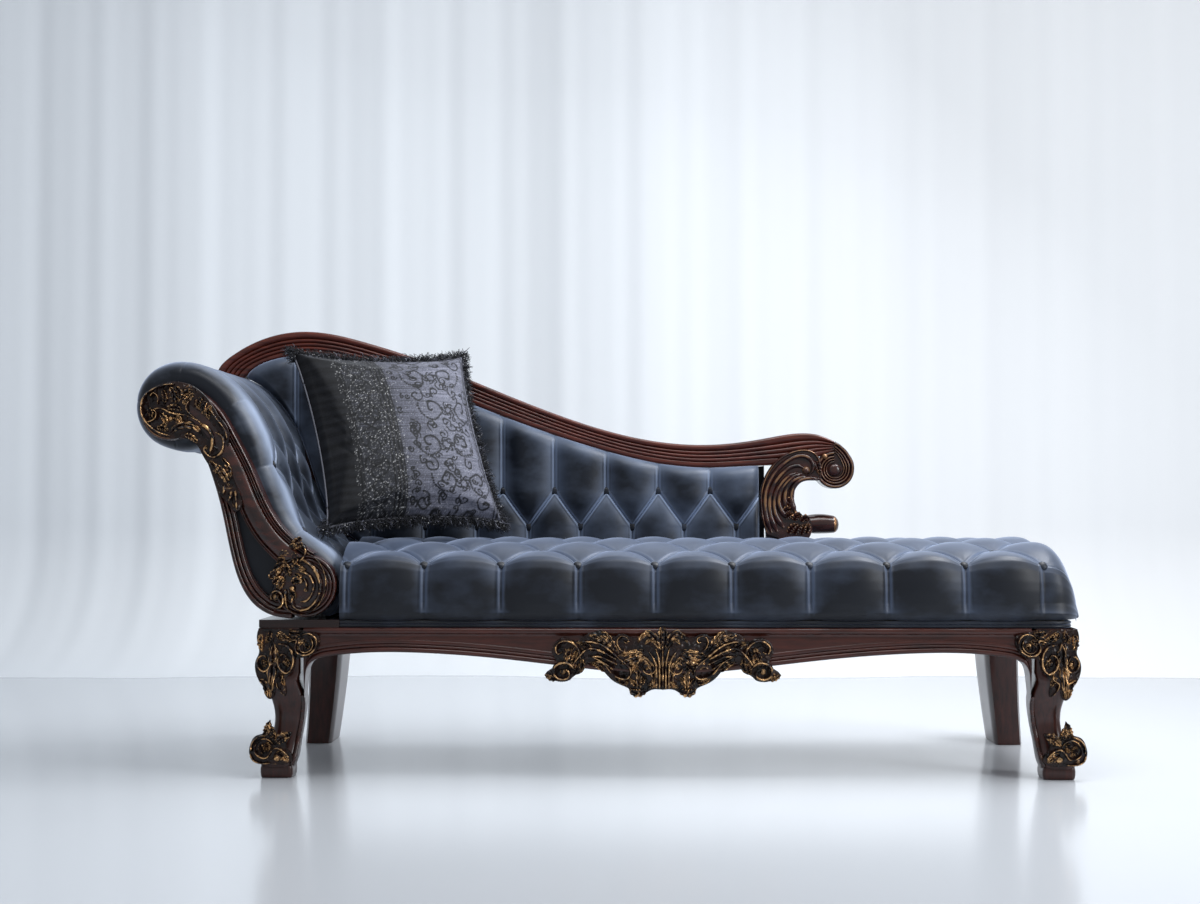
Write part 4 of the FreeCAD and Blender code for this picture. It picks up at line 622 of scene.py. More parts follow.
def arm_surface():
    """The tufted arm as a grid, with the lattice place of each point."""
    tail = arm_line((skin_table[-1], (0.272, 0.660), (0.330, 0.680)), 17)[1:]
    line = np.concatenate([arm_line(skin_table, 26 * ROW_STEPS + 1), tail])
    rows = len(line)
    run = unit(np.gradient(line, axis=0))
    out = np.stack([run[:, 1], -run[:, 0]], 1)
    row = (np.arange(rows) / ROW_STEPS - 6) / 2
    border = np.linspace(0, 1, 26)
    rear = np.linspace(ARM_FRONT + BORDER, ARM_REAR, 14 * ROW_STEPS + 1)[1:]
    ys = np.concatenate([ARM_FRONT + BORDER * (1 - np.cos(border * np.pi / 2)), rear])
    cols = np.concatenate([2 - (1 - border) * 2, (rear - ARM_FRONT - BORDER) / (ARM_REAR - ARM_FRONT - BORDER) * 14])
    inset = np.concatenate([ROLL_BORDER * (1 - np.sin(border * np.pi / 2)), rear * 0])
    u, v = (np.maximum(cols, 2) / 2 + 1)[None, :], np.clip(row, -1, 3)[:, None]
    near_seat = ease(np.arange(rows) / 42)[:, None]
    rolled = rolled_rows(row)[:, None]
    from_front = (ys - ARM_FRONT)[None, :]
    tufted = ease((from_front - 0.025) / 0.075) * 0.88 + 0.12
    edges = tuck(u, v) * (1 - 0.72 * rolled) * ease((from_front - 0.04) / 0.06)
    pleat = 0.0045 * (1 - np.abs(np.sin(np.pi * row / 2))[:, None] ** 0.35) * np.exp(-from_front / 0.035) * near_seat
    sink = 0.020 * (1 - swell(u, v)) * near_seat * (1 - 0.72 * rolled) * tufted
    total = sink + pleat - 0.0010 * fold_lines(u, v) * (1 - rolled) - 0.0016 * edges + inset[None, :]
    grid = points_grid(line[:, :1] - out[:, :1] * total, ys[None, :], line[:, 1:] - out[:, 1:] * total)
    hem = points_grid(line[:, 0] - out[:, 0] * HEM, ARM_FRONT, line[:, 1] - out[:, 1] * HEM)
    middle = 0.5 * (grid[:, 0] + hem) + np.array([0, -0.004, 0])
    return np.concatenate([hem[:, None], middle[:, None], grid], axis=1), grid, row, cols, edges


# %% The arm's painted sheen, highlight and shade
def arm_painted_light():
    """The arm's painted sheen, with painted shade on its front border and a painted highlight band inside it below
    the roll.
    """
    depth = arm_grid[:, :, 1] - arm_grid[:, :1, 1]
    along = np.gradient(arm_grid, axis=0)
    slope = np.abs(along[:, :, 2]) / np.linalg.norm(along, axis=-1)
    below_roll = 1 - rolled_rows(arm_rows)[:, None]
    # A painted highlight band just inside the border below the roll, and painted shade on the border itself.
    painted_highlight_band = bell((depth - 0.055) / 0.030) * np.clip((slope - 0.25) / 0.4, 0, 1) * below_roll
    painted_border_shade = 1 - 0.75 * bell(depth / 0.020)
    return np.clip(painted_sheen(arm_grid, (0.5, -0.3, 1), arm_edges) * painted_border_shade + 0.92 * painted_highlight_band, 0, 1)


# %% The arm's velvet
arm_all, arm_grid, arm_rows, arm_cols, arm_edges = arm_surface()
arm = grid_mesh("arm_velvet", arm_all, "frame", "velvet", looks["velvet_arm_lit"],
                {"painted_sheen": np.pad(arm_painted_light(), ((0, 0), (2, 0)))})
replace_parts(arm, "arm_pad")
print("arm_velvet", arm_grid.shape)

# %% The arm's buttons
arm_out = normals_of(arm_grid)
places, outs = [], []
for row in range(4):
    for u in range(2, 8):
        if (u + row) % 2 == 0:
            at = nearest(arm_rows, row), nearest(arm_cols, 2 * (u - 1))
            places.append(arm_grid[at])
            outs.append(arm_out[at] if arm_out[at][0] > 0 else -arm_out[at])
covered_buttons("arm_button_caps", "arm_buttons", places, outs, 0.0095, 0.006)

# %% [markdown]
# ## The back
# The back fills the space between the seat and the sweeping rail. Straight pleats fall from the crest rail to
# the first row of buttons, then cross to a second row. The pad could be cut out of a flat buttoned sheet, but
# its edges would then be sharp. Here every column of the grid runs from the seat up to the rail at its place,
# and the face rounds back at each edge, as stuffing does under a tacked cloth.

# %% Lines of the crest rail, and sizes of the back
CREST_X, CREST_L, CREST_LOW, CREST_RISE = -0.8805, 1.412, 0.563, 0.346
crest_top = ((0.009, 0.656), (0.017, 0.772), (0.037, 0.850), (0.083, 0.951), (0.136, 1.000), (0.191, 0.988),
             (0.244, 0.936), (0.314, 0.847), (0.417, 0.682), (0.554, 0.460), (0.682, 0.312), (0.776, 0.277),
             (0.871, 0.318), (0.935, 0.350), (0.955, 0.338), (0.967, 0.320), (0.978, 0.300))
crest_shared = ((0.049, 0.650), (0.061, 0.728), (0.092, 0.806), (0.136, 0.847), (0.191, 0.838), (0.244, 0.786),
                (0.314, 0.694), (0.417, 0.532), (0.536, 0.350), (0.619, 0.243), (0.698, 0.165), (0.777, 0.133),
                (0.872, 0.147))
crest_low = crest_shared + ((0.907, 0.142), (0.935, 0.107), (0.954, 0.052))
crest_low_to_volute = crest_shared + ((0.912, 0.155), (0.945, 0.190), (0.978, 0.2355))
BACK_LEFT, BACK_FRONT, BACK_REAR, BACK_PITCH, BUTTON_Z, BACK_ROW = -0.797, 0.136, 0.2117, 0.1135, 0.557, 0.078
BACK_RIGHT = SCROLL_X - 0.0012
BACK_FIRST = BACK_RIGHT - 0.108
ARM_RIGHT = -0.5091


# %% The rail's lines above the back
def crest_line(table, count):
    """A line of the crest rail, as X and Z."""
    return smooth_line([(CREST_X + a * CREST_L, CREST_LOW + b * CREST_RISE) for a, b in table], count)


crest_under = crest_line(crest_low, 600)
arm_skin = arm_line(skin_table, 400)[45:]
arm_skin = arm_skin[np.argsort(arm_skin[:, 0])]


def rounding(distance, radius):
    """How far an edge has turned away, from 1 on the edge to 0 at its radius."""
    return 1 - dome(np.clip(1 - distance / radius, 0, 1))


# %% The back's surface
def back_surface():
    """The tufted back as a grid, between the seat or the arm and the crest rail."""
    xs = np.arange(BACK_LEFT, BACK_RIGHT, BACK_PITCH / 52)
    fine = 220
    grid, edges = np.zeros((len(xs), fine, 3)), np.zeros((len(xs), fine))
    for i, x in enumerate(xs):
        top = float(np.interp(x, crest_under[:, 0], crest_under[:, 1])) - CLOTH_GAP
        low = 0.3053
        if x < ARM_RIGHT:
            low = max(low, float(np.interp(x, arm_skin[:, 0], arm_skin[:, 1])) + 0.0015)
        z = np.linspace(low, max(top, low + 0.001), fine)
        u, v = 2 * (x - BACK_FIRST) / BACK_PITCH, np.interp(z, [BUTTON_Z - BACK_ROW, BUTTON_Z], [1, 0])
        upper = np.clip((z - BUTTON_Z) / max(top - BUTTON_Z, 0.02), 0, 1)
        depth = 0.024 * (1 - 0.25 * upper)
        face = BACK_FRONT + 0.026 * rounding(top - z, 0.030) + 0.020 * rounding(z - low, 0.022)
        face = face + 0.016 * rounding(BACK_RIGHT - x, 0.016)
        edges[i] = tuck(u, v) * np.clip((top - z) / 0.03, 0, 1)
        y = face + depth * (1 - swell(u, v, 0.26, 0.5)) - 0.0010 * fold_lines(u, v) - 0.0020 * edges[i]
        grid[i] = points_grid(x, y, z)
    return xs, grid, edges


# %% The back's velvet
def pushed_back(points):
    """The same points on the back's rear plane."""
    return points * np.array([1, 0, 1]) + np.array([0, BACK_REAR, 0])


back_xs, back_grid, back_edges = back_surface()
back_all = np.concatenate([pushed_back(back_grid[:, :1]), back_grid, pushed_back(back_grid[:, -1:])], axis=1)
# The back's colour holds painted sheen, and the whole back is painted a little paler as painted light.
back_painted_sheen = painted_sheen(back_grid, (0, -1, 0), back_edges) + 0.07
back = grid_mesh("back_velvet", np.concatenate([back_all, pushed_back(back_all[-1:])]), "frame", "velvet",
                 looks["velvet_back_lit"], {"painted_sheen": np.pad(back_painted_sheen, ((0, 1), (1, 1)))})
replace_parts(back, "back_pad")
print("back_velvet", back_grid.shape)

# %% The back's buttons
places = []
for i in range(-14, 1):
    for row, z in ((0, BUTTON_Z), (1, BUTTON_Z - BACK_ROW)):
        x = BACK_FIRST + (i + row / 2) * BACK_PITCH
        if ARM_RIGHT + 0.02 < x < SCROLL_X - 0.02:
            column = back_grid[nearest(back_xs, x)]
            places.append(column[nearest(column[:, 2], z)])
covered_buttons("back_button_caps", "back_buttons", places, [(0, -1, 0)] * len(places), 0.0095, 0.006)

# %% [markdown]
# ## Moulded show wood
# The rail, the arm's facing and its stile are boards worked with long parallel reeds. Their width changes on
# the way, so a profile swept along a curve would pinch. A moulding here is the space between two lines seen
# from the front. Its face swells into reeds, which are half-round bumps placed across it, so the reeds grow
# and shrink with the board, and one crest can carry a worn gilt line.

# %% Moulding tools
def reeds(t, bumps):
    """Height across a moulding from half-round bumps: (middle, half width, height)."""
    return np.max([height * dome((t - middle) / half) for middle, half, height in bumps], axis=0)


def moulding(name, node, a, b, front, rear, bumps, across, look, gilt=None):
    """A moulded board between line a and line b, standing for one CAD node."""
    t = np.linspace(0, 1, across)
    face = a[:, None] + (b - a)[:, None] * t[None, :, None]
    grid = np.zeros((len(a), across + 4, 3))
    grid[:, 2:-2] = points_grid(face[:, :, 0], front - reeds(t, bumps), face[:, :, 1])
    for k, line, y in ((1, a, front + 0.004), (0, a, rear), (-2, b, front + 0.004), (-1, b, rear)):
        grid[:, k] = points_grid(line[:, 0], y, line[:, 1])
    mark = np.zeros(grid.shape[:2])
    if gilt:
        middle, half = gilt
        mark[:, 2:-2] = np.clip(1 - np.abs(t - middle) / (half * 0.75), 0, 1)
    parts = [(grid, {"gild": mark})]
    for end in (grid[0], grid[-1]):
        fan = np.stack([end, np.broadcast_to(end.mean(0), end.shape)])
        parts.append((fan, {"gild": np.zeros(fan.shape[:2])}))
    points, faces, values = join_grids(parts)
    index = np.arange(mark.size).reshape(mark.shape)
    faces = np.concatenate([faces, quads(np.stack([index[:, -1], index[:, 0]], 1))])
    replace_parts(make_mesh(name, points, faces, "frame", looks[look], values, sharp=48), node)


# %% Round bosses
def spiral_boss(name, centre, radii, front, rear, bumps, eye, gilt=True):
    """A round boss whose reeds follow its outer edge inward, with a domed eye of a radius and a height."""
    angles = np.linspace(-np.pi, np.pi, 181)[:, None]
    edge = np.interp(np.degrees(angles), *zip(*radii))
    r = edge * (1 - np.linspace(0, 1, 90))
    h, mark = np.zeros_like(r), np.zeros_like(r)
    for start, width, height in bumps:
        x = (edge - r - start - width / 2) / (width / 2)
        h = np.maximum(h, height * dome(x))
        mark = np.maximum(mark, np.clip(1 - np.abs(x) / 0.55, 0, 1))
    depth = np.pad(front - np.where(r < eye[0], eye[1] * dome(r / eye[0]), h), ((0, 0), (2, 0)))
    depth[:, :2] = rear, front + 0.003
    r_all = np.hstack([edge, edge, r])
    grid = points_grid(centre[0] + r_all * np.cos(angles), depth, centre[1] + r_all * np.sin(angles))
    values = np.pad(np.where(r < eye[0], 0.25, mark) * gilt, ((0, 0), (2, 0)))
    grid_mesh(name, grid, "frame", "mahogany", looks["gilt_wood"], {"gild": values}, sharp=50)


# %% Crest rail with its volute
moulding("crest_rail_moulded", "crest_rail", crest_line(crest_top, 420), crest_line(crest_low_to_volute, 420), 0.175,
         REAR_Y, ((0.13, 0.13, 0.0060), (0.345, 0.075, 0.0050), (0.505, 0.075, 0.0046), (0.665, 0.075, 0.0042),
                  (0.86, 0.11, 0.0030)), 110, "crest_wood")
spiral_boss("crest_volute", (CREST_X + 0.978 * CREST_L, CREST_LOW + 0.117 * CREST_RISE),
            ((-180, 0.041), (-90, 0.041), (0, 0.0435), (45, 0.047), (70, 0.054), (89, 0.063), (92, 0.041),
             (180, 0.041)), 0.172, REAR_Y,
            ((0, 0.0085, 0.006), (0.009, 0.006, 0.005), (0.0155, 0.005, 0.0045), (0.021, 0.0045, 0.004)),
            (0.0142, 0.009))
print("crest rail and volute")

# %% [markdown]
# Below the volute a C scroll turns back under the rail. It ends in a small rounded roll, and a short post
# behind it carries the rail. The roll is a tube with a changing radius, which one grid can hold.

# %% Foot of the C scroll, and its post
SCROLL_W, SCROLL_H = 0.176, 0.149
SCROLL_Z = CREST_LOW + CREST_RISE * 0.148 - SCROLL_H


def finial():
    """The rounded roll that ends the C scroll's foot, towards the foot end."""
    s, turn = np.linspace(0, 1, 60)[:, None], around(40)
    r = SCROLL_H * (0.115 + 0.03 * np.sin(np.pi * s)) * dome(np.clip((s - 0.86) / 0.14, 0, 1))
    r = np.maximum(r, 1e-5)
    z = SCROLL_Z + SCROLL_H * (0.118 + 0.015 * np.sin(s * 3.0))
    grid = points_grid(SCROLL_X + SCROLL_W * (0.50 + 0.50 * s), 0.200 - r * 1.15 * np.cos(turn), z + r * np.sin(turn))
    rubbed = np.broadcast_to(bell((s - 0.90) / 0.05) * 0.9, grid.shape[:2])
    grid_mesh("scroll_foot", grid, "frame", "mahogany", looks["gilt_wood"], {"gild": rubbed}, close_columns=True)


finial()
corners = ((POST_X0, 0.204), (POST_X1, 0.204), (POST_X1, 0.234), (POST_X0, 0.234))
post = np.array([[(x, y, z) for x, y in corners] for z in (0.2905, SCROLL_Z + 0.02)])
grid_mesh("scroll_post", post, "frame", "mahogany", looks["mahogany_up"], sharp=30, close_columns=True)
print("scroll foot and post")

# %% [markdown]
# The front of the arm is an S-shaped facing between the rolled end and the seat, with a slimmer stile outside
# it. Both are mouldings. The rolled end and the rosette sit on round grounds, so that the carving has a floor.

# %% The arm's S scroll, its stile and its two bosses
FACING_FRONT, FACING_REAR = -0.322, -0.288
inner_table = ((0.317, 0.893), (0.366, 0.868), (0.450, 0.807), (0.526, 0.711), (0.607, 0.589), (0.681, 0.459),
               (0.792, 0.340), (0.910, 0.275))
outer_table = ((0.309, 0.723), (0.356, 0.686), (0.432, 0.618), (0.496, 0.535), (0.550, 0.430), (0.624, 0.327),
               (0.728, 0.241))
moulding("arm_facing_moulded", "arm_facing", arm_line(inner_table, 240), arm_line(outer_table, 240), FACING_FRONT,
         FACING_REAR, ((0.045, 0.045, 0.0045), (0.135, 0.04, 0.0040), (0.215, 0.035, 0.0035), (0.56, 0.30, 0.0110),
                       (0.90, 0.045, 0.0050), (0.97, 0.03, 0.003)), 100, "gilt_wood", gilt=(0.135, 0.012))
stile_out = ((0.373, 0.654), (0.450, 0.474), (0.516, 0.249), (0.568, 0.140), (0.634, 0.076), (0.733, 0.040),
             (0.800, 0.034))
stile_in = ((0.437, 0.602), (0.516, 0.463), (0.580, 0.256), (0.629, 0.168), (0.679, 0.122), (0.748, 0.092),
            (0.800, 0.088))
moulding("arm_stile_moulded", "arm_stile", arm_line(stile_out, 200), arm_line(stile_in, 200), FACING_FRONT,
         FACING_REAR, ((0.17, 0.17, 0.0065), (0.50, 0.13, 0.0050), (0.80, 0.15, 0.0045)), 70, "gilt_wood",
         gilt=(0.50, 0.03))
spiral_boss("arm_volute_ground", (ARM_X + 0.208 * ARM_W, RAIL_Z + 0.797 * ARM_H), ((-180, 0.054), (180, 0.054)),
            -0.3265, FACING_REAR, ((0, 0.007, 0.0025),), (0.012, 0.003))
spiral_boss("arm_rosette_ground", (ARM_X + 0.863 * ARM_W, RAIL_Z + 0.155 * ARM_H), ((-180, 0.0605), (180, 0.0605)),
            -0.3225, FACING_REAR, ((0, 0.007, 0.005), (0.0075, 0.006, 0.0045), (0.0145, 0.005, 0.003)),
            (0.030, 0.001), gilt=False)
print("arm facing, stile and bosses")

# %% [markdown]
# ## Apron and legs
# The apron is the front rail. Its lower edge waves, and a bead runs along it at an even height, so the bead is
# measured down from the edge and not across the board. The front legs are cabriole legs: square at the block,
# rounder in the shaft and bent like an animal's. Stacked rings are used, because each ring can be squarer or
# rounder than the one before. The rear legs are plain tapered sabres.

# %% Apron
LEG_L, LEG_R, BLOCK = -0.6645, 0.8305, 0.080
apron_table = [(0.0046, -0.62), (0.0056, -0.36), (0.0072, -0.10), (0.012, 0.20), (0.045, 0.40), (0.10, 0.47),
               (0.18, 0.45), (0.26, 0.36), (0.33, 0.24), (0.42, 0.08), (0.50, 0.0)]


def apron():
    """The front rail: a plain field, a small bead on top and a worked lower edge of even width."""
    start, across = LEG_L + BLOCK, 120
    full = apron_table + [(1 - a, b) for a, b in reversed(apron_table[:-1])]
    edge = smooth_line([(start + a * (LEG_R - start), 0.200 + b * 0.090) for a, b in full], 620)
    upper = np.stack([edge[:, 0], np.full(len(edge), RAIL_Z)], 1)
    t = np.linspace(0, 1, across) ** 0.7
    face = upper[:, None] + (edge - upper)[:, None] * t[None, :, None]
    tall = (RAIL_Z - edge[:, 1])[:, None]
    h = reeds(tall * (1 - t), ((0.0050, 0.0050, 0.0055), (0.0130, 0.0028, 0.0030), (0.0205, 0.0040, 0.0022)))
    h = np.maximum(h, reeds(tall * t, ((0.006, 0.006, 0.005),)))
    h = h - 0.0022 * bell((tall * t - 0.0165) / 0.0035)
    h = h - 0.42 * np.clip(0.205 - face[:, :, 1], 0, 1) ** 1.15
    grid = np.zeros((len(edge), across + 2, 3))
    grid[:, 1:-1] = points_grid(face[:, :, 0], FRONT_Y - h, face[:, :, 1])
    for k, line in ((0, upper), (-1, edge)):
        grid[:, k] = points_grid(line[:, 0], -0.275, line[:, 1])
    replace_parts(grid_mesh("apron", grid, "frame", "mahogany", looks["mahogany"], sharp=48), "front_rail")


apron()
print("apron")

# %% Sizes of the front legs
FOOT_Z, SHAFT = 0.020, 0.185
leg_heights = (1.0, 0.90, 0.72, 0.50, 0.27, 0.10, 0.0)
leg_out = (0.0, 0.03, -0.16, -0.17, -0.08, 0.05, 0.08)
leg_fore = (0.0, 0.05, 0.00, -0.11, -0.03, 0.09, 0.07)
leg_wide = (1.0, 1.01, 0.84, 0.72, 0.74, 0.90, 0.80)
base_rings = ((0.0275, 0.0250), (0.0262, 0.0288), (0.0235, 0.0302), (0.0195, 0.0312), (0.0150, 0.0317),
              (0.0100, 0.0316), (0.0055, 0.0311), (0.0020, 0.0303), (0.0, 0.0290))


# %% Front legs
def eased_row(values, count):
    """A row of values read along a smooth curve."""
    v, place = np.array(values, float), np.linspace(0, len(values) - 1, count)
    i = np.minimum(place.astype(int), len(v) - 2)
    f, slope = place - i, np.gradient(v)
    return (v[i] * (2 * f ** 3 - 3 * f ** 2 + 1) + v[i + 1] * (3 * f ** 2 - 2 * f ** 3)
            + slope[i] * (f ** 3 - 2 * f ** 2 + f) + slope[i + 1] * (f ** 3 - f ** 2))


def squareness(turn, power):
    """What a circle's radius is divided by to square it off, more so for a larger power."""
    return (np.abs(np.cos(turn)) ** power + np.abs(np.sin(turn)) ** power) ** (1 / power)


def cabriole(name, node, block_x, side):
    """A front leg: square block, cabriole shaft, moulded base, and a bead down its inner edge."""
    sides = 64
    height, out, fore, wide = (eased_row(row, 110) for row in (leg_heights, leg_out, leg_fore, leg_wide))
    cx, cy, half = block_x + BLOCK / 2, FRONT_Y + BLOCK / 2, BLOCK / 2
    rings = [(cx, cy, z, 0.0398, 14.0) for z in np.linspace(RAIL_Z - 0.0005, 0.206, 14)]
    for up, o, f, w in zip(height, out, fore, wide):
        power = np.interp(up, [0, 0.3, 0.9, 1.0], [3.4, 3.0, 5.0, 14.0])
        rings.append((cx + side * o * BLOCK, cy - f * BLOCK, FOOT_Z + up * SHAFT, w * half, power))
    foot = cx + side * leg_out[-1] * BLOCK, cy - leg_fore[-1] * BLOCK
    rings += [(*foot, z, wide_z, 9.0) for z, wide_z in base_rings]
    x, y, z, r, power = np.array(rings).T[:, :, None]
    turn = around(sides) + np.pi / sides
    r = r / squareness(turn, power)
    grid = points_grid(x + r * np.cos(turn), y + r * np.sin(turn), z)
    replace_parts(grid_mesh(name, grid, "frame", "mahogany", looks["mahogany_up"], close_columns=True), node)
    zs = FOOT_Z + height * SHAFT
    line = points_grid(cx + side * out * BLOCK - side * wide * half * 0.90,
                       cy - fore * BLOCK - wide * half * 0.80, zs)[(zs < 0.158) & (zs > 0.024)]
    turn = around(12)
    bead = points_grid(line[:, :1] + 0.0046 * np.cos(turn), line[:, 1:2] + 0.0046 * np.sin(turn), line[:, 2:])
    grid_mesh(name + "_bead", bead, "frame", "mahogany", looks["gilt_wood"], {"gild": np.full(bead.shape[:2], 0.42)},
              close_columns=True)


# %% Rear legs
def sabre(node, side):
    """A rear leg that tapers and curves outward to its foot."""
    low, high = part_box(node)
    zs = np.linspace(high[2], low[2], 26)[:, None]
    t = (high[2] - zs) / (high[2] - low[2])
    wide, deep = (high[0] - low[0]) / 2, (high[1] - low[1]) / 2
    turn = around(32) + np.pi / 32
    r = 1 / squareness(turn, 12)
    x = (low[0] + high[0]) / 2 + side * (0.007 - 0.021 * t ** 1.7)
    y = (low[1] + high[1]) / 2 + deep * 0.20 * t
    grid = points_grid(x + wide * (0.98 - 0.26 * t) * (r * np.cos(turn)),
                       y + deep * (0.94 - 0.20 * t) * (r * np.sin(turn)), zs)
    leg = grid_mesh(node + "_sabre", grid, "frame", "mahogany", looks["mahogany_up"], sharp=40, close_columns=True)
    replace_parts(leg, node)


cabriole("front_leg_left", "front_left_leg", LEG_L, -1)
cabriole("front_leg_right", "front_right_leg", LEG_R, 1)
sabre("rear_left_leg", 1)
sabre("rear_right_leg", -1)
print("legs")

# %% [markdown]
# A planed board never has a knife edge. A small bevel on the plain boards catches the light along their rims.

# %% Softened edges of the plain boards
for node in ("arm_base_board", "back_seat_rail", "head_end_rail", "foot_end_rail", "arm_rear_board"):
    board = frame["nodes"][node]
    bevel = board.modifiers.new("edges", "BEVEL")
    bevel.width, bevel.segments, bevel.limit_method, bevel.angle_limit = 0.0022, 3, "ANGLE", math.radians(35)
    board.data.materials[0] = looks["dark_wood" if node == "arm_base_board" else "mahogany"]
print("show wood done")

# %% [markdown]
# ## Carvings
# The ornament is acanthus carving: leaves and scrolls cut in the wood, with gold on their crests and rims. It
# could be sculpted, or pressed out of a height picture, but both are heavy and hard to change. Here it is laid
# out as a carver draws it, stroke by stroke: a stroke is a ridge that swells and tapers along a curve, a leaf
# also has a vein and slanting lobes, and all of them stand on a dark ground plate.
#
# The strokes are written as rows of text: leaf or ridge, width, rise, and the points of the path as x,z. An
# outline is only its points. x counts to the right and z down from the carving's origin, in drawing units.

# %% Carving tools
STEPS, LEAF_T = 60, np.linspace(-1, 1, 19)


def read_points(words):
    """Points from words such as 12,-40."""
    return [tuple(float(number) for number in word.split(",")) for word in words]


def read_strokes(table):
    """Whether it is a leaf, the width, the rise and the path of each stroke."""
    rows = [line.split() for line in table.strip().splitlines()]
    return [(row[0] == "leaf", float(row[1]), float(row[2]), read_points(row[3:])) for row in rows]


# %% One carved stroke
def stroke(points, width, rise, leaf, low):
    """A ridge along a drawn line: its grid (across, forward, up) and its gilding."""
    line = smooth_line(points, STEPS)
    s, t = np.linspace(0, 1, STEPS)[:, None], LEAF_T[None, :]
    run = unit(np.gradient(line, axis=0))
    side = np.stack([run[:, 1], -run[:, 0]], 1)
    if leaf:
        body = np.sin(np.pi * (0.10 + 0.88 * s)) ** 0.75
        lobes = 0.5 + 0.5 * np.cos(2 * np.pi * (4.5 * s - 0.6 * np.abs(t)))
        across = body * (1 - 0.26 * (1 - lobes) * np.abs(t))
        high = np.sqrt(body) * np.sqrt(np.clip(1 - t ** 6, 0, 1)) * (0.62 + 0.38 * lobes)
        high = high * (1 - 0.42 * bell(t / 0.13)) * (0.80 + 0.20 * np.abs(t))
        gild = 0.34 + 0.66 * np.clip((np.abs(t) - 0.52) / 0.28, 0, 1) * (0.35 + 0.65 * lobes)
        gild = np.maximum(gild, 0.8 * np.clip((0.35 - np.abs(np.abs(t) - 0.30)) / 0.35, 0, 1) * (s > 0.55))
    else:
        body = np.clip(np.minimum(s / 0.10, (1 - s) / 0.10), 0.25, 1) ** 0.5
        across = body * (1 - 0.35 * s)
        high = body * dome(t)
        gild = np.clip(1.05 - np.abs(t) * 1.25, 0, 1) * (0.80 + 0.20 * np.cos(2 * np.pi * 2.5 * s + width * 900))
    plan = line[:, None] + (width / 2 * across * t)[:, :, None] * side[:, None]
    grid = points_grid(plan[:, :, 0], low + rise * high, plan[:, :, 1])
    grid[:, (0, -1), 1] = low - rise * 0.4
    return grid, gild


# %% Pearls and the ground plate
def pearl(x, z, radius, low):
    """A small round knob and its gilding."""
    turn, up = np.linspace(0, 2 * np.pi, 25), np.linspace(0, np.pi / 2, 9)[:, None]
    grid = points_grid(x + radius * np.cos(up) * np.cos(turn), low + radius * np.sin(up),
                       z + radius * np.cos(up) * np.sin(turn))
    return grid, np.full(grid.shape[:2], 0.8)


def ground_plate(outline, depth):
    """A plate with a rounded edge, from its drawn outline: points and faces."""
    line = smooth_line(outline + [outline[0]], 160)[:-1]
    inner = line + (line.mean(0) - line) * 0.015
    points = np.concatenate([points_grid(ring[:, 0], forward, ring[:, 1])
                             for ring, forward in ((line, -0.006), (line, depth * 0.7), (inner, depth))])
    n, k = len(line), np.arange(len(line))
    after = (k + 1) % n
    walls = [tuple(face) for r in range(2) for face in np.stack([k, after, after + n, k + n], 1) + r * n]
    caps = tessellate_polygon([[Vector((*point, 0)) for point in inner]])
    return points, walls + [tuple(i + 2 * n for i in face) for face in caps]


# %% A whole carving
def carving(name, node, strokes, outline, depth, origin, scale, side, front, knobs, mirror=False,
            look="carved_gilt"):
    """A carved piece from its tables. `knobs` are places and sizes of pearls; `side` -1 turns it left to right."""
    def drawn(points):
        return [(a * scale, -b * scale) for a, b in points]

    base = depth * scale * 0.8
    ridges = [stroke(drawn(path), width * (1.45 if leaf else 1.15) * scale, rise * scale, leaf, base)
              for leaf, width, rise, path in read_strokes(strokes)]
    ridges += [pearl(a * scale, -b * scale, radius * scale, base) for a, b, radius in knobs]
    parts = [(grid, {"gild": gild}) for grid, gild in ridges]
    outline = read_points(outline.split())
    if mirror:
        parts += [(grid * np.array([-1, 1, 1]), values) for grid, values in parts]
        outline += [(-a, b) for a, b in reversed(outline[1:-1])]
    points, faces, values = join_grids(parts)
    if outline:
        plate, plate_faces = ground_plate(drawn(outline), depth * scale)
        faces = [*faces] + [tuple(i + len(points) for i in face) for face in plate_faces]
        values["gild"] = np.concatenate([values["gild"], np.zeros(len(plate))])
        points = np.concatenate([points, plate])
    placed = points_grid(origin[0] + side * points[:, 0], front - points[:, 1], origin[1] + points[:, 2])
    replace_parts(make_mesh(name, placed, faces, "frame", looks[look], values, sharp=50), node)
    print(name, len(ridges), "strokes and knobs")


# %% [markdown]
# The cartouche hangs in the middle of the apron. Only its right half is drawn, and the left half is its mirror.

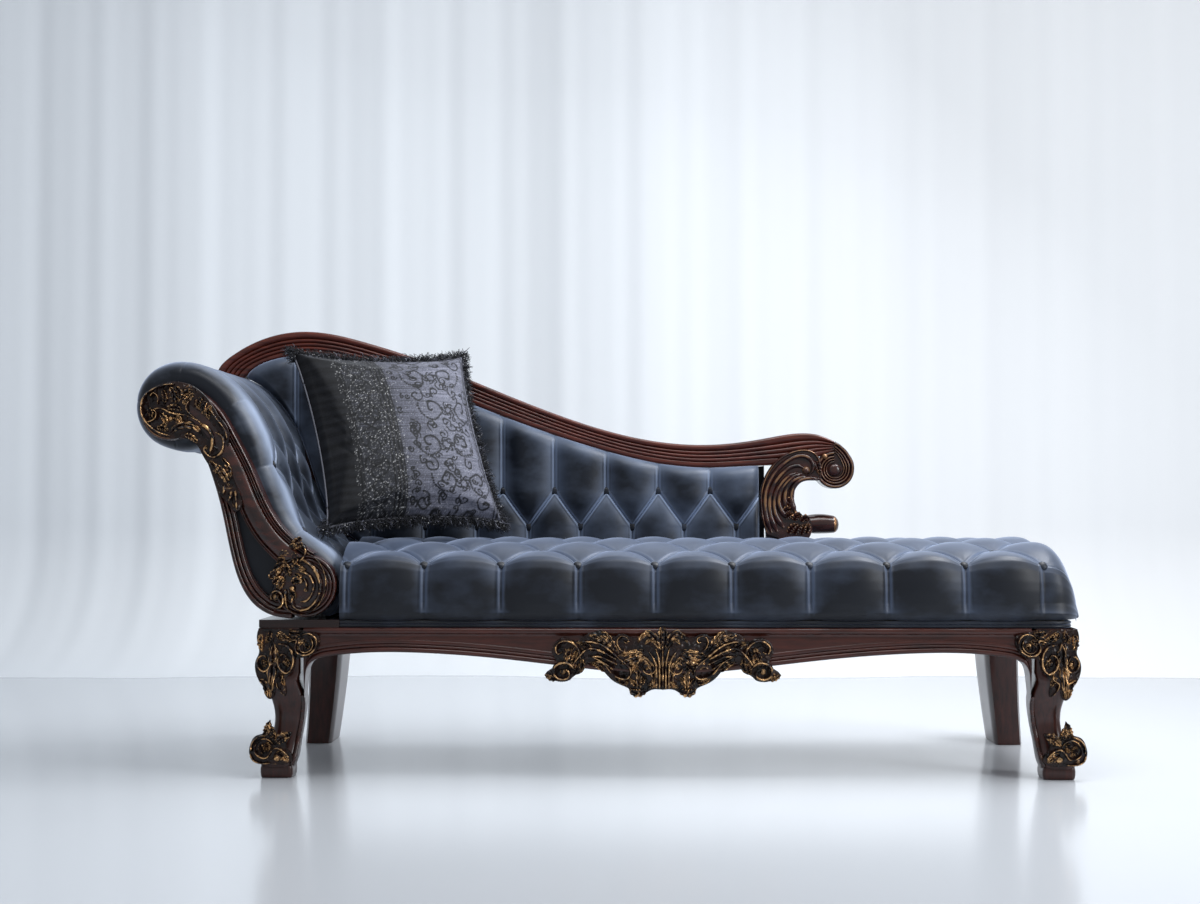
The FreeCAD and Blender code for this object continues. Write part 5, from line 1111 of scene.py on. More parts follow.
# %% Apron cartouche
cartouche_strokes = """
ridge 7 9 0,120 0,80 0,40
ridge 6 9 6,118 6,86 8,60 13,42
ridge 6 9 12,117 12,90 17,62 28,46
leaf 10 9 16,116 17,92 26,70 37,62 42,72
leaf 10 9 3,44 5,22 4,1
leaf 10 9 8,42 16,20 28,12 40,19 48,30
leaf 8 8 6,42 14,29 24,25 34,34
ridge 4.5 8 12,66 13,80 20,89 32,89 38,80 34,71 26,72 24,78
leaf 10 9 46,120 46,100 48,78
leaf 7 8 44,114 38,104 33,96
leaf 7 8 48,114 58,106 64,98
leaf 13 8 32,123 44,127 56,126 64,119
leaf 8 7 8,110 20,112 30,118
ridge 6 10 86,60 68,74 61,87 68,99 84,98 98,89 110,74 126,62 143,55
ridge 7 11 84,61 110,39 136,29 160,29
ridge 7 11 90,62 116,48 142,42 160,56 176,77
ridge 7 10 88,72 104,64 122,57 140,58
ridge 6 9 96,82 112,70 132,66
leaf 11 9 88,46 100,30 111,14 119,8
leaf 10 9 98,38 118,24 142,16
leaf 9 8 92,42 108,26 128,16
ridge 4 7 36,47 52,48 71,49 84,40 87,26 80,18 70,20 66,26 70,31 75,28
leaf 14 9 34,54 56,64 82,70
leaf 9 8 36,46 60,50 86,56
leaf 9 8 46,72 54,78 58,90
ridge 7 11 158,60 164,40 180,28 198,30 206,42 201,52 193,48
leaf 10 9 176,40 184,58 190,76
leaf 10 9 166,46 171,64 178,80
ridge 8 10 170,82 180,71 197,70 209,80 207,94 192,101 180,94 183,84 192,83
leaf 9 8 200,100 214,99 227,92
leaf 9 8 156,62 155,76 160,88
leaf 8 8 164,70 165,82 170,92
leaf 9 8 132,46 150,34 166,30
leaf 8 8 112,86 126,74 140,68
leaf 8 8 66,108 78,106 92,98
"""
cartouche_outline = """
0,121 24,122 34,128 56,129 63,121 80,112 98,102 113,86 128,71 143,67 152,80 160,90 172,94 180,102 196,106 214,102
228,94 222,86 208,76 205,66 213,50 208,32 196,22 180,22 166,28 150,16 138,10 118,6 106,16 96,22 86,14 72,14 60,20
48,20 38,10 22,7 10,10 4,0 0,0
"""
MM = 0.001
carving("cartouche", "apron_cartouche", cartouche_strokes, cartouche_outline, 5, (0.1160, 0.2925), MM, 1, FRONT_Y,
        knobs=((192, 86, 6), (30, 80, 3.5)), mirror=True)

# %% [markdown]
# Each front leg has a carving on its knee and a smaller one on its foot. The right leg's are the left leg's,
# turned from left to right.

# %% Knee and foot carvings
knee_strokes = """
ridge 6 10 29,31 25,47 24,66 20,79 11,84 2,77 -1,66 5,55 13,54 17,62
ridge 7 11 39,31 60,38 68,54 67,74 56,87 45,81 39,68 43,54 50,51 55,58
leaf 15 11 27,26 29,60 25,100 24,134
leaf 9 9 36,10 42,17 45,26
leaf 9 9 24,8 20,20 14,30
ridge 6 10 60,27 75,24 72,36 83,52 100,50 110,41 113,24 102,12 90,12 80,18
ridge 4 8 102,21 106,31 100,44 85,46 80,36 88,28
leaf 9 8 62,26 76,26 92,25
ridge 4 8 46,87 48,97 37,106 39,116 51,130
leaf 8 7 42,92 48,104 52,112
leaf 9 9 2,100 12,106 16,122 19,134
leaf 10 9 60,8 72,12 84,8
leaf 10 9 6,12 4,30 8,46
leaf 9 9 34,40 36,62 33,84
leaf 8 8 8,62 12,70 10,78
leaf 9 8 50,60 57,68 54,78
leaf 10 9 40,8 52,20 64,22
leaf 7 7 90,30 96,36 92,42
"""
knee_outline = """
0,1 30,2 60,2 84,4 100,8 116,14 119,30 112,46 100,56 82,58 72,62 70,78 60,91 53,102 54,118 52,132 42,120 36,114
30,132 24,138 16,134 8,112 0,100 -6,84 -5,62 1,48 -2,30 -3,12
"""
foot_strokes = """
leaf 15 10 62,206 46,212 34,225
ridge 5 10 60,248 48,235 37,231 26,239 17,250 5,248 -5,237 0,221 12,213 25,217 32,226
ridge 5 9 -12,238 -10,222 0,211 14,206
leaf 10 9 6,224 8,234 14,243
leaf 10 9 16,220 20,228 20,238
ridge 5 9 -14,242 -8,254 6,260 24,260
leaf 11 9 22,181 18,195 12,211
leaf 9 8 26,190 27,202 26,214
leaf 13 9 36,240 48,246 60,256
leaf 9 8 34,214 30,206 32,196
"""
foot_outline = """
22,178 27,196 34,206 48,204 64,202 60,214 54,226 62,240 67,254 58,261 30,263 4,262 -10,256 -17,240 -14,222 -4,208
10,203 16,190
"""
for name, side, start in (("left", 1, LEG_L), ("right", -1, LEG_R + BLOCK)):
    carving(name + "_knee_leaves", name + "_knee_carving", knee_strokes, knee_outline, 5, (start, RAIL_Z), MM, side,
            FRONT_Y, knobs=((12, 68, 5), (52, 68, 6), (92, 32, 5)))
    carving(name + "_foot_leaves", name + "_foot_carving", foot_strokes, foot_outline, 6, (start, RAIL_Z), MM, side,
            FRONT_Y - 0.001, knobs=((37, 250, 7), (4, 232, 4)))

# %% [markdown]
# The carving on the arm's rolled end trails down the S scroll. The rosette sits where the facing meets the seat,
# and the C scroll's carving is left in plain wood, with gold only on its crests.

# %% Rolled end of the arm
volute_strokes = """
ridge 5 8 18,110 23,92 40,76 62,67 84,65
ridge 5 8 18,106 22,127 34,144 55,159 76,165
ridge 5 8 41,115 58,112 75,120 103,125 136,140
ridge 4 8 29,139 46,131 48,119 40,114
ridge 3.5 8 36,91 43,82 52,91 50,103
leaf 8 8 60,76 65,90 62,104
leaf 10 8 75,71 82,88 80,106
leaf 9 8 96,93 106,81 119,76
leaf 9 8 100,104 112,92 120,82
ridge 4.5 8 113,96 107,112 119,127 138,142
leaf 9 8 136,91 129,103 133,115
leaf 9 8 146,99 139,112 144,126
leaf 9 8 155,107 148,120 152,134
leaf 11 8 77,160 87,149 106,144 125,149 138,165
leaf 9 8 104,164 118,168 128,180
ridge 10 9 134,142 153,156 158,180 153,200
ridge 6 9 164,159 176,166 180,183 173,200 161,207 147,200 142,190 148,185
ridge 4 8 153,112 168,135 183,155 186,170
leaf 10 8 153,214 165,230 171,245
leaf 12 9 166,222 181,242 190,262
leaf 7 8 176,208 190,228 193,250
ridge 8 8 180,260 181,270 180,280
ridge 8 8 195,272 194,283 190,291
ridge 6 8 203,272 205,290 206,308
leaf 10 8 56,122 66,134 62,150
leaf 10 8 82,126 92,132 98,142
leaf 9 8 32,112 38,122 36,132
leaf 9 8 86,70 94,84 90,100
leaf 9 8 68,112 84,110 98,116
leaf 9 8 50,150 62,150 72,158
"""
volute_outline = """
15,108 20,90 38,73 62,63 85,60 108,64 130,76 152,98 170,126 187,150 190,172 188,196 196,222 200,250 212,305 204,312
188,296 176,284 164,252 149,220 139,204 128,184 108,171 76,170 52,163 30,147 18,128
"""
carving("volute_leaves", "arm_volute_carving", volute_strokes, volute_outline, 5, (-0.912, 0.826), MM, 1, -0.3265,
        knobs=((76, 132, 5), (68, 140, 3), (145, 188, 4)))

# %% Rosette
rosette_strokes = """
ridge 12 8 900,330 1010,400 1085,520 1105,660 1060,810 960,920 840,950 720,900
ridge 45 45 870,400 980,480 1040,600 1050,720 1000,830 900,905 810,890 768,820 790,765
ridge 35 40 850,520 940,560 985,640 970,740 910,815 855,825
ridge 25 35 890,590 915,650 900,720
ridge 35 45 560,800 565,745 610,715 655,735 682,795 668,860 590,900
ridge 30 40 700,700 705,800 730,900
leaf 55 45 860,180 800,230 745,290
leaf 50 45 640,350 690,335 740,370
leaf 50 45 590,490 650,455 715,430
leaf 60 45 540,590 600,535 665,500
leaf 45 40 575,640 625,600 675,570
leaf 60 45 640,700 650,640 690,580
leaf 60 45 700,440 720,510 750,570
leaf 55 45 770,440 820,480 905,500
ridge 30 40 860,245 900,290 890,370 845,420
leaf 55 45 770,290 820,260 890,260
leaf 55 45 780,330 800,400 780,460
leaf 60 45 770,640 810,610 870,620
leaf 50 45 740,700 770,740 800,800
leaf 50 40 800,540 830,570 870,560
leaf 50 40 700,400 660,400 620,430
"""
carving("rosette_leaves", "arm_rosette", rosette_strokes, "", 0, (-0.7473, 0.4991), 0.0001929, 1, -0.3275,
        knobs=((605, 775, 32), (770, 690, 30), (850, 615, 28), (905, 705, 22)))

# %% C scroll
scroll_strokes = """
ridge 30 40 262,1130 225,1000 205,850 215,700 250,590 320,470 420,380 540,325 650,313 740,348 786,430 797,520 780,590
ridge 62 40 310,1130 262,1000 243,850 255,715 300,600 385,485 485,405 585,366 690,395 722,455 712,525 665,560
ridge 62 40 365,1120 305,990 287,860 302,730 352,620 432,525 525,470 600,472 645,505
ridge 60 38 430,1080 352,960 333,850 350,740 400,650 480,570 570,530
ridge 60 38 470,990 395,890 382,790 410,700 470,620 560,560 610,545
ridge 58 40 545,930 508,820 512,720 548,650 610,603 700,590 785,596
ridge 60 38 462,900 440,800 455,710 505,630 590,585 670,575
leaf 70 50 430,805 480,820 520,865
leaf 70 50 422,925 470,905 515,905
leaf 60 50 440,985 480,960 520,935
leaf 70 50 530,1010 560,960 610,955
leaf 60 50 600,1020 640,985 690,1000
leaf 60 55 470,1140 510,1080 570,1040
leaf 55 55 530,1150 560,1090 600,1050
leaf 55 55 600,1150 620,1090 640,1040
leaf 50 50 650,1140 665,1080 670,1020
leaf 60 50 740,420 770,480 785,560
"""
scroll_outline = """
262,1150 225,1000 198,850 206,700 243,580 312,462 414,368 540,312 655,302 752,338 798,425 810,520 795,602 700,606
612,618 562,662 537,740 534,820 550,900 600,950 690,1000 700,1150
"""
carving("c_scroll", "end_scroll", scroll_strokes, scroll_outline, 30, (0.2942, 0.7149), 0.0002202, 1, 0.172,
        knobs=((652, 512, 42), (840, 372, 28)), look="gilt_wood")

# %% [markdown]
# ## Scatter cushion
# The cushion is loose and soft, and leans in the corner of the arm. Two sheets sewn at their edges and filled
# never take a shape that a simple formula gives, so this is the one piece that is simulated: a short Cloth run
# with inner pressure starts from a slimmer pillow. How far a point may move is capped, so the cushion stays in
# its own place. The cover is then refined and woven, and a brush fringe with small beads follows its edge.

# %% Cushion cover
HALF, THICK, EDGE, PULL = 0.206, 0.128, 0.012, 0.015
LARGEST_STEP = 0.012
fringe_low, fringe_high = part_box("cushion_fringe")
lean = Matrix.Translation((Vector(fringe_low) + Vector(fringe_high)) / 2)
for degrees, axis in ((32.0, "Z"), (-25.0, "X"), (-1.5, "Y")):
    lean = lean @ Matrix.Rotation(math.radians(degrees), 4, axis)
LEAN = np.array(lean)


def leaned(points):
    """Cushion points in their place on the seat."""
    return (points.reshape(-1, 3) @ LEAN[:3, :3].T + LEAN[:3, 3]).reshape(points.shape)


def square_net(n):
    """Two numbers from -1 to 1 that count across and up a square."""
    return np.meshgrid(np.linspace(-1, 1, n), np.linspace(-1, 1, n), indexing="ij")


# %% The pillow before it is filled
def flat_pillow(n, share):
    """The front of the cover as a grid, at a share of its full crown."""
    a, b = square_net(n)
    crown = np.clip((1 - a * a) * (1 - b * b), 0, 1) ** 0.55
    y = -(EDGE / 2 + (THICK - EDGE) / 2 * crown * share)
    return points_grid(a * (HALF - PULL * (1 - b * b)), y, b * (HALF - PULL * (1 - a * a)))


# %% Filling it with air
def blown(front, back):
    """Both sides after a short cloth simulation with inner pressure, each point moved by a capped amount."""
    n = len(front)
    index = np.arange(n * n).reshape(n, n)
    edge = np.ones((n, n), bool)
    edge[1:-1, 1:-1] = False
    behind = np.where(edge, index, 0)
    behind[1:-1, 1:-1] = n * n + np.arange((n - 2) ** 2).reshape(n - 2, n - 2)
    front = np.where(edge[:, :, None], (front + back) / 2, front)
    points = np.concatenate([front.reshape(-1, 3), back[1:-1, 1:-1].reshape(-1, 3)])
    obj = make_mesh("blown", points, np.concatenate([quads(index), quads(behind[:, ::-1])]), None)
    settings = obj.modifiers.new("cloth", "CLOTH").settings
    settings.use_pressure = True
    settings.uniform_pressure_force = 4.0
    settings.effector_weights.gravity = 0.0
    settings.shrink_min = -0.02
    for frame_number in range(1, 21):
        bpy.context.scene.frame_set(frame_number)
    shaped = obj.evaluated_get(bpy.context.evaluated_depsgraph_get()).data
    moved = np.zeros(points.size)
    shaped.vertices.foreach_get("co", moved)
    bpy.context.scene.frame_set(1)
    bpy.data.objects.remove(obj)
    step = moved.reshape(-1, 3) - points
    far = np.maximum(np.linalg.norm(step, axis=1), 1e-9)[:, None]
    points = points + step * np.minimum(1, LARGEST_STEP / far)
    points[:, 1] = np.clip(points[:, 1], -THICK / 2, THICK / 2)
    return points[index], points[behind]


# %% A finer cover
def refined(grid, count):
    """A grid resampled with a smooth curve through its points, both ways."""
    n = len(grid)
    place = np.linspace(0, n - 1, count)
    cell = np.clip(place.astype(int), 0, n - 2)
    f = place - cell
    weight = np.zeros((count, n))
    for offset, share in ((-1, -0.5 * f + f ** 2 - 0.5 * f ** 3), (0, 1 - 2.5 * f ** 2 + 1.5 * f ** 3),
                          (1, 0.5 * f + 2 * f ** 2 - 1.5 * f ** 3), (2, -0.5 * f ** 2 + 0.5 * f ** 3)):
        np.add.at(weight, (np.arange(count), np.clip(cell + offset, 0, n - 1)), share)
    return np.einsum("mi,ijk,nj->mnk", weight, grid, weight)


slim = flat_pillow(57, 0.82)
slim_back = slim * np.array([1, -1, 1])
cover_front, cover_back = blown(slim, slim_back)
border_line = np.concatenate([cover_front[:-1, 0], cover_front[-1, :-1],
                              cover_front[:0:-1, -1], cover_front[0, :0:-1]])
print("cushion thickness", round(float(cover_back[:, :, 1].max() - cover_front[:, :, 1].min()), 4))

# %% [markdown]
# ### The weave
# The cloth has a plain ribbed side, a speckled band of knots, narrow stripes and a field of scrolls and flowers.
# A picture could hold it, but it would blur close by. Each point of the fine cover gets a tone instead, from
# its distance to drawn spiral lines, and a sparkle for its brighter threads. The tone also holds a painted
# highlight that grows across the field.

# %% Lines of the weave
FINE = 241
KNOTS = -0.45
stripe_table = ((-0.635, 0.010), (-0.605, 0.006), (-0.27, 0.008), (-0.225, 0.012), (-0.18, 0.012), (-0.145, 0.006),
                (0.885, 0.008), (0.925, 0.014), (0.97, 0.008))


def spiral(a, b, radius, start, turns, squeeze=1.0):
    """Points of a scroll that winds inward."""
    k = np.linspace(0, 1, 40)
    angle = start + turns * 2 * np.pi * k
    r = radius * (1 - 0.85 * k)
    return np.stack([a + squeeze * r * np.cos(angle), b + r * np.sin(angle)], 1)


def woven_lines(rng):
    """The lines of the weave, each with its width: large scrolls, flowers, scattered scrolls and knots."""
    lines = []
    for row, middle in enumerate(np.arange(-1.05, 1.2, 0.42)):
        c = 0.40 + (0.12 if row % 2 else 0.0)
        for side in (-1, 1):
            lines += [(spiral(c + side * 0.20, middle, 0.17, np.pi * (0.5 - 0.4 * side), -side * 1.3), 0.013),
                      (spiral(c + side * 0.36, middle + 0.17, 0.10, np.pi * 0.5, side * 1.2), 0.010),
                      (spiral(c + side * 0.12, middle + 0.20, 0.07, np.pi * (1 - 0.3 * side), side * 1.1), 0.009)]
        for turn in np.arange(7) * 2 * np.pi / 7:
            x, z = c + 0.055 * np.cos(turn), middle - 0.02 + 0.055 * np.sin(turn)
            lines.append((spiral(x, z, 0.034, turn, 0.9), 0.008))
    for x, z, size, turn, way in rng.uniform((-0.08, -1, 0.030, 0, -1), (0.84, 1, 0.062, 6.28, 1), (74, 5)):
        lines.append((spiral(x, z, size, turn, math.copysign(1.15, way)), 0.0075))
    up = np.linspace(-1.1, 1.1, 500)
    for phase in (0, np.pi):
        for sway, pace, width in ((0.13, 10.5, 0.011), (0.07, 21, 0.008)):
            lines.append((np.stack([KNOTS + sway * np.sin(up * pace + phase), up], 1), width))
    return lines + [(spiral(KNOTS, k, 0.075, 0.3, 2.0), 0.009) for k in np.arange(-1.05, 1.1, 0.30)]


# %% Tone and sparkle of the weave
def streaked(rng, shape):
    """Soft streaks that run along the weave."""
    streaks = rng.normal(0, 1, shape)
    for shift in (1, 2, 4, 8):
        streaks = streaks + np.roll(streaks, shift, 0)
    return streaks / streaks.std()


def damask(a, b):
    """Tone and sparkle of the weave: a plain dark side, a knotted band, stripes and a field of scrolls."""
    rng = np.random.default_rng(11)
    wobble = 0.006 * np.sin(31 * a + 17 * b) + 0.005 * np.sin(47 * b - 23 * a)
    at = np.stack([(a + wobble).ravel(), (b - wobble).ravel()], 1)
    ink = np.zeros(len(at))
    for line, width in woven_lines(rng):
        where = np.flatnonzero(((at > line.min(0) - 0.03) & (at < line.max(0) + 0.03)).all(1))
        for part in np.array_split(where, max(1, len(where) // 4000)):
            d = np.sqrt(((at[part, None] - line[None]) ** 2).sum(-1).min(1))
            ink[part] = np.maximum(ink[part], np.clip(1.35 - d / width, 0, 1))
    ink = ink.reshape(a.shape)
    stripes = np.max([np.clip(1.4 - np.abs(a - place) / half, 0, 1) for place, half in stripe_table], axis=0)
    plain = np.clip((-0.60 - a) / 0.09, 0, 1)
    band = np.clip((a + 0.69) / 0.07, 0, 1) * np.clip((-0.09 - a) / 0.09, 0, 1)
    ribs = 0.5 + 0.5 * np.sin(58 * b + 2.4 * np.sin(7 * b + 2 * a) + 5 * a)
    grain = rng.random(a.shape)
    slub = rng.normal(0, 1, (1, a.shape[1])) + 0.8 * streaked(rng, a.shape)
    # The field is painted lighter away from the stripes: a painted highlight, not a change in the weave.
    tone = 0.55 + 0.18 * np.clip((a + 0.1) / 0.6, 0, 1) - 0.22 * band - (0.50 - 0.13 * ribs) * plain
    tone = tone - (0.50 - 0.16 * band) * ink * (1 - plain) - 0.40 * stripes * (1 - plain)
    tone = tone + ((grain - 0.5) * 0.24 + slub * 0.045) * (1 - 0.55 * plain)
    in_band = band > 0
    spark = (grain > 0.92) * in_band * 0.20 + (grain > 0.985) * in_band * 0.35 + (grain > 0.99) * 0.3 * (1 - plain)
    return np.clip(tone, 0, 1), np.clip(spark, 0, 1)


# %% The woven cover
tone, spark = damask(*square_net(FINE))
halves = []
for grid, way in ((cover_front, 1), (cover_back, -1)):
    fine = leaned(refined(grid, FINE))
    halves.append((fine[:, ::way], {"tone": tone[:, ::way], "spark": spark[:, ::way]}))
points, faces, values = join_grids(halves)
cover = make_mesh("cushion", points, faces, "scatter_cushion", looks["figured_silk"], values)
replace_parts(cover, "cushion_cover")
print("cushion", len(points), "points")

# %% [markdown]
# ### Piping and fringe
# A thin cord covers the seam, and a brush fringe stands out from it. Hair strands could make the fringe, but
# they don't export as a mesh. Each thread is a thin three-sided tube that curls on its way out, and the beads
# are small balls on some of the threads. Beside the arm, where the cushion leans, the threads are shorter.

# %% The cushion's piping
SEAT_TOP = 0.4475
THREADS, THREAD_STEPS, BEADS = 6600, 9, 620
seam_cord = leaned(border_line * np.array([1.008, 1, 1.008]) + np.array([0, -0.0030, 0]))
cord = tube(seam_cord, 0.0016, closed=True)
grid_mesh("cushion_piping", cord, "scatter_cushion", "damask", looks["thread"],
          {"tone": np.full(cord.shape[:2], 0.62), "spark": np.full(cord.shape[:2], 0.10)},
          close_rows=True, close_columns=True)


# %% Where the threads run
def thread_paths(rng):
    """The middle lines of the threads, and their lengths."""
    place = rng.uniform(0, len(border_line), THREADS)
    k, f = place.astype(int) % len(border_line), (place % 1)[:, None]
    base = border_line[k] * (1 - f) + border_line[(k + 1) % len(border_line)] * f
    outward = np.sign(base) * (np.abs(base) / HALF) ** 6 * np.array([1, 0, 1])
    outward = unit(outward + rng.normal(0, 0.34, (THREADS, 3)) * np.array([1, 1.1, 1]))
    left = (base[:, 0] < -HALF * 0.6) & (-base[:, 0] > np.abs(base[:, 2]) * 0.99)
    corner = np.hypot(*(HALF - np.abs(base[:, [0, 2]])).T)
    length = rng.uniform(0.013, 0.0225, THREADS) * np.where(left & (corner > 0.03), 0.10, 1.0)
    length = length * (1 + 0.28 * bell(corner / 0.018))
    swing = rng.normal(0, 0.0030, (THREADS, 3))
    full = np.minimum(length / 0.012, 1)
    curl = rng.uniform(0.0008, 0.0022, THREADS) * full
    turn, spin = rng.uniform(0, 2 * np.pi, THREADS), rng.uniform(0.8, 2.0, THREADS) * 2 * np.pi
    s = np.linspace(0, 1, THREAD_STEPS)[None, :, None]
    path = base[:, None] + outward[:, None] * length[:, None, None] * s
    path = path + full[:, None, None] * swing[:, None] * np.sin(s * np.pi * 0.9) * s
    angle = turn[:, None] + spin[:, None] * s[:, :, 0]
    coil = points_grid(np.cos(angle), np.sin(angle * 0.8), np.sin(angle))
    path += curl[:, None, None] * np.minimum(s * 3, 1) * coil
    path[:, :, 1] += rng.uniform(-0.005, 0.005, THREADS)[:, None] * full[:, None]
    path = leaned(path)
    z = path[:, :, 2] - 0.0025 * s[:, :, 0] ** 2
    path[:, :, 2] = np.where(z < SEAT_TOP, SEAT_TOP + (z - SEAT_TOP) * 0.12, z)
    return path, length


# %% The fringe
def fringe():
    """Short twisted threads round the edge, shorter on the side that faces the arm, with beads among them."""
    rng = np.random.default_rng(5)
    path, length = thread_paths(rng)
    t = around(3)
    ring = np.stack([np.cos(t), np.sin(t) * 0.7, np.sin(t)], 1)
    radius = 0.00072 * (1 - 0.40 * np.linspace(0, 1, THREAD_STEPS))
    tone = np.clip(rng.beta(1.0, 5.5, THREADS) + (rng.random(THREADS) > 0.91) * 0.55, 0, 1)
    threads = path[:, :, None, :] + radius[None, :, None, None] * ring[None, None]
    beaded = path[rng.choice(np.flatnonzero(length > 0.008), BEADS, replace=False)]
    centre = beaded[np.arange(BEADS), rng.integers(2, THREAD_STEPS, BEADS)]
    up, turn = np.linspace(-np.pi / 2, np.pi / 2, 5)[:, None], np.linspace(0, 2 * np.pi, 7)
    ball = points_grid(np.cos(up) * np.cos(turn), np.cos(up) * np.sin(turn), np.sin(up))
    beads = centre[:, None, None] + rng.uniform(0.0007, 0.0013, BEADS)[:, None, None, None] * ball[None]
    in_thread, in_bead = THREAD_STEPS * 3, ball.size // 3
    faces = [grid_faces(THREAD_STEPS, 3, close_columns=True, start=k * in_thread) for k in range(THREADS)]
    faces += [grid_faces(*ball.shape[:2], start=THREADS * in_thread + k * in_bead) for k in range(BEADS)]
    points = np.concatenate([threads.reshape(-1, 3), beads.reshape(-1, 3)])
    shine = np.concatenate([np.zeros(THREADS * in_thread), np.repeat(rng.uniform(0.2, 1.0, BEADS), in_bead)])
    tones = np.concatenate([np.repeat(tone, in_thread), np.full(BEADS * in_bead, 0.3)])
    return make_mesh("cushion_fringe_threads", points, np.concatenate(faces), "scatter_cushion",
                     looks["thread"], {"tone": tones, "spark": shine})


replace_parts(fringe(), "cushion_fringe")
print("fringe", THREADS, "threads and", BEADS, "beads")

# %% [markdown]
# Two velvet cords run round the foot of the seat, one above the other, and hide where it meets the rails. They
# are round tubes along one path of straights and quarter turns.

# %% Piping under the seat
def welt_path(z):
    """The line of the piping round the foot of the seat."""
    r = 0.042
    x, front, rear = 0.9105 - 0.0044 - r, FRONT_Y + 0.0044, REAR_Y - 0.0044
    turns = np.linspace(0, np.pi / 2, 16)
    path = [(SEAT_LEFT + i * (x - SEAT_LEFT) / 60, front, z) for i in range(60)]
    path += [(x + r * np.sin(t), front + r - r * np.cos(t), z) for t in turns]
    path += [(x + r * np.cos(t), rear - r + r * np.sin(t), z) for t in turns]
    path += [(x - i * (x - POST_X1 - 0.0004) / 30, rear, z) for i in range(1, 31)]
    return np.array(path)


cords = [tube(welt_path(RAIL_Z + k * WELT), WELT, 13) for k in (1, 3)]
points, faces, values = join_grids([(np.concatenate([cord, cord[:, :1]], axis=1), {}) for cord in cords])
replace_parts(make_mesh("seat_piping", points, faces, "frame", looks["velvet"]), "seat_welts")
print("piping", len(points), "points")

# %% [markdown]
# ## Studio
# The chaise stands on a pale polished floor in front of a sheer curtain. One wide sheet with soft folds is
# enough for the curtain. It is see-through from behind, so the chaise can be viewed from all sides. Large soft
# lamps stand for daylight, and the camera was found from the photo's lines.

# %% Floor and backdrop
# The curtain grows paler towards the right: a painted gradient of light on one cloth colour.
SHEER_LIGHT_FALLOFF = [(0.08, (0.79, 0.83, 0.87)), (0.50, (0.85, 0.88, 0.91)), (0.75, (0.92, 0.935, 0.95))]


def polished(name, colour):
    """A smooth floor."""
    n = Nodes(name)
    n.set(base_color=shade(*colour), roughness=0.17, specular_ior_level=0.45)
    return n.material


bpy.ops.mesh.primitive_plane_add(size=40, location=(0, 0, -0.0005))
floor = bpy.context.object
floor.name = "floor"
floor.data.materials.append(polished("floor", (0.60, 0.63, 0.67)))


# %% The curtain
def curtain():
    """A pale sheer backdrop with soft upright folds."""
    x = np.linspace(-5.5, 5.5, 1200)
    z = np.concatenate([0.46 * np.linspace(0, 1, 30) ** 1.8, np.linspace(0.5, 4.2, 30)])
    rng = np.random.default_rng(7)
    y = np.zeros_like(x)
    for scale, amount in ((0.9, 0.045), (2.6, 0.010), (6.1, 0.0045), (13.0, 0.0022), (23.0, 0.001)):
        y += amount * np.sin(np.pi * scale * x + rng.uniform(0, 6.28) + 0.8 * np.sin(x * rng.uniform(0.5, 1.5)))
    cove = np.clip((0.45 - z) / 0.45, 0, 1)
    return points_grid(x[:, None], 2.3 + y[:, None] * (1.1 - 0.12 * z) - 0.55 * (1 - dome(cove)), z)


def sheer(name):
    """Sheer cloth painted paler towards the right as a painted falloff of light, and can't be seen from behind."""
    n = Nodes(name)
    place = n.add("ShaderNodeSeparateXYZ", {"Vector": n.add("ShaderNodeTexCoord").outputs["Object"]})
    across = n.math("ADD", n.math("MULTIPLY", place.outputs["X"], 0.20), 0.5)
    n.set(base_color=n.ramp(across, SHEER_LIGHT_FALLOFF), roughness=0.9, specular_ior_level=0.1)
    seen_from = n.add("ShaderNodeSeparateXYZ", {"Vector": n.add("ShaderNodeNewGeometry").outputs["Incoming"]})
    clear = n.add("ShaderNodeBsdfTransparent").outputs["BSDF"]
    mix = n.add("ShaderNodeMixShader", {"Fac": n.math("GREATER_THAN", seen_from.outputs["Y"], 0.0),
                                        1: n.shader.outputs["BSDF"], 2: clear})
    n.put(n.tree.nodes["Material Output"], "Surface", mix.outputs["Shader"])
    return n.material


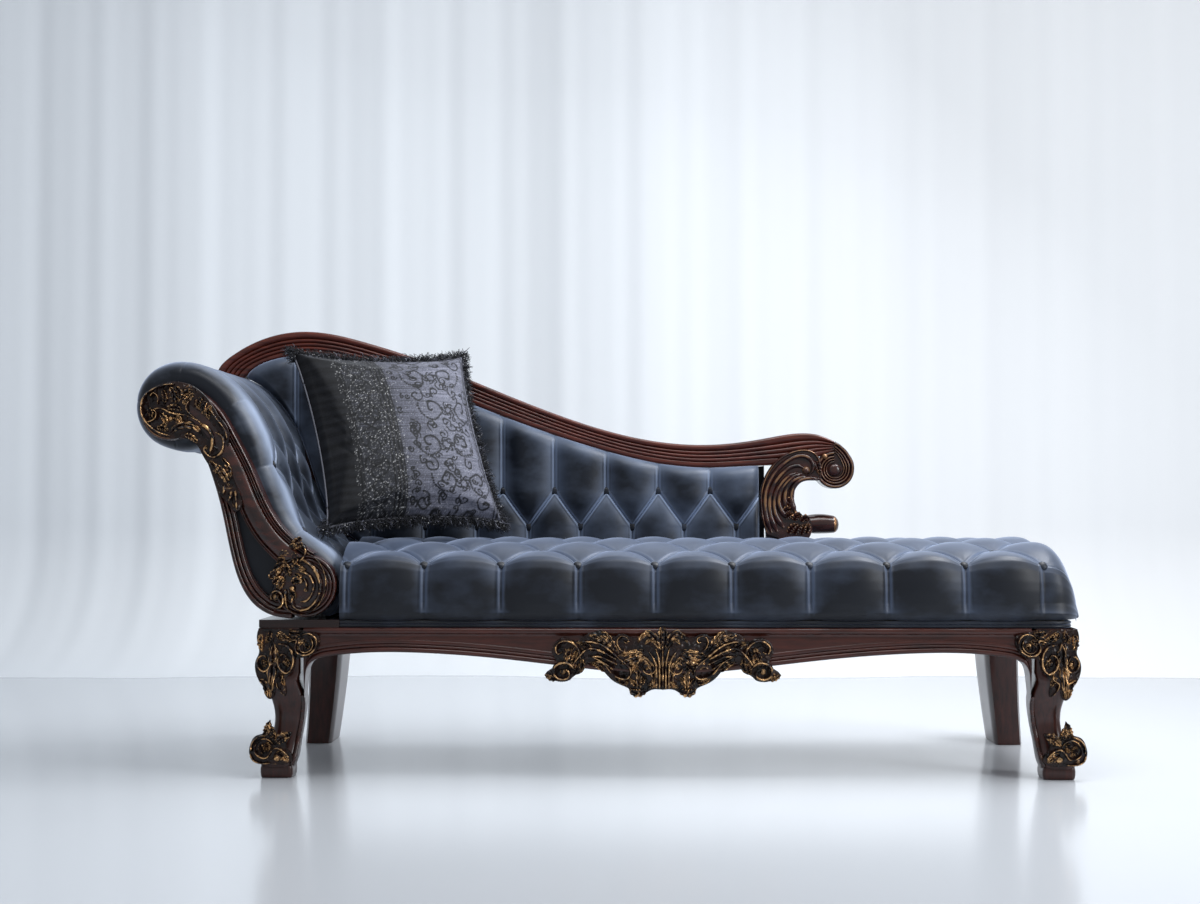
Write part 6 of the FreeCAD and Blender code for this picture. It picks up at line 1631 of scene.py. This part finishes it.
drape = grid_mesh("backdrop", curtain(), None, None, sheer("backdrop"))
if drape.data.polygons[0].normal.y > 0:
    drape.data.flip_normals()
print("floor and backdrop")

# %% Light
scene = bpy.context.scene
scene.world = bpy.data.worlds.new("studio")
scene.world.use_nodes = True
sky = scene.world.node_tree.nodes["Background"]
sky.inputs["Color"].default_value = (0.92, 0.95, 1.0, 1)
sky.inputs["Strength"].default_value = 0.50


def aimed(obj, place, target):
    """Places an object and turns it towards a point."""
    obj.location = place
    obj.rotation_mode = "QUATERNION"
    obj.rotation_quaternion = (Vector(target) - Vector(place)).to_track_quat("-Z", "Y")
    scene.collection.objects.link(obj)


lamps = {  # place, target, width and height, power, colour
    "window": ((0.6, 1.3, 2.9), (0.1, -1.5, 0.4), (3.2, 0.8), 20, (0.92, 0.96, 1.0)),
    "wash": ((3.5, 0.4, 1.9), (2.3, 2.4, 1.2), (1.2, 2.4), 13, (0.98, 0.99, 1.0)),
    "overhead": ((0.4, -0.8, 2.8), (0, 0.2, 0.5), (2.2, 0.9), 38, (0.96, 0.98, 1.0)),
    "key": ((1.35, 0.10, 2.2), (-0.60, -0.3, 0.6), (0.9, 0.7), 34, (0.97, 0.98, 1.0)),
    "side": ((2.7, -1.7, 1.5), (-0.3, 0, 0.5), (0.8, 1.6), 40, (0.96, 0.98, 1.0)),
}
for name, (place, target, size, power, colour) in lamps.items():
    light = bpy.data.lights.new(name, "AREA")
    light.shape = "RECTANGLE"
    light.size, light.size_y = size
    light.energy, light.color = power, colour
    aimed(bpy.data.objects.new(name, light), place, target)
print("lamps", len(lamps))

# %% Camera
lens = bpy.data.cameras.new("camera")
lens.sensor_width = 36.0
lens.lens = 55.2
camera = bpy.data.objects.new("camera", lens)
scene.collection.objects.link(camera)
camera.location = (0.063, -3.875, 0.53)
aim = Matrix.Rotation(math.radians(1.09), 3, "Z") @ Matrix.Rotation(math.pi / 2 + math.radians(1.6), 3, "X")
camera.rotation_mode = "QUATERNION"
camera.rotation_quaternion = aim.to_quaternion()
scene.camera = camera
print("camera", tuple(camera.location))

# %% Picture colours
scene.view_settings.view_transform = "Standard"
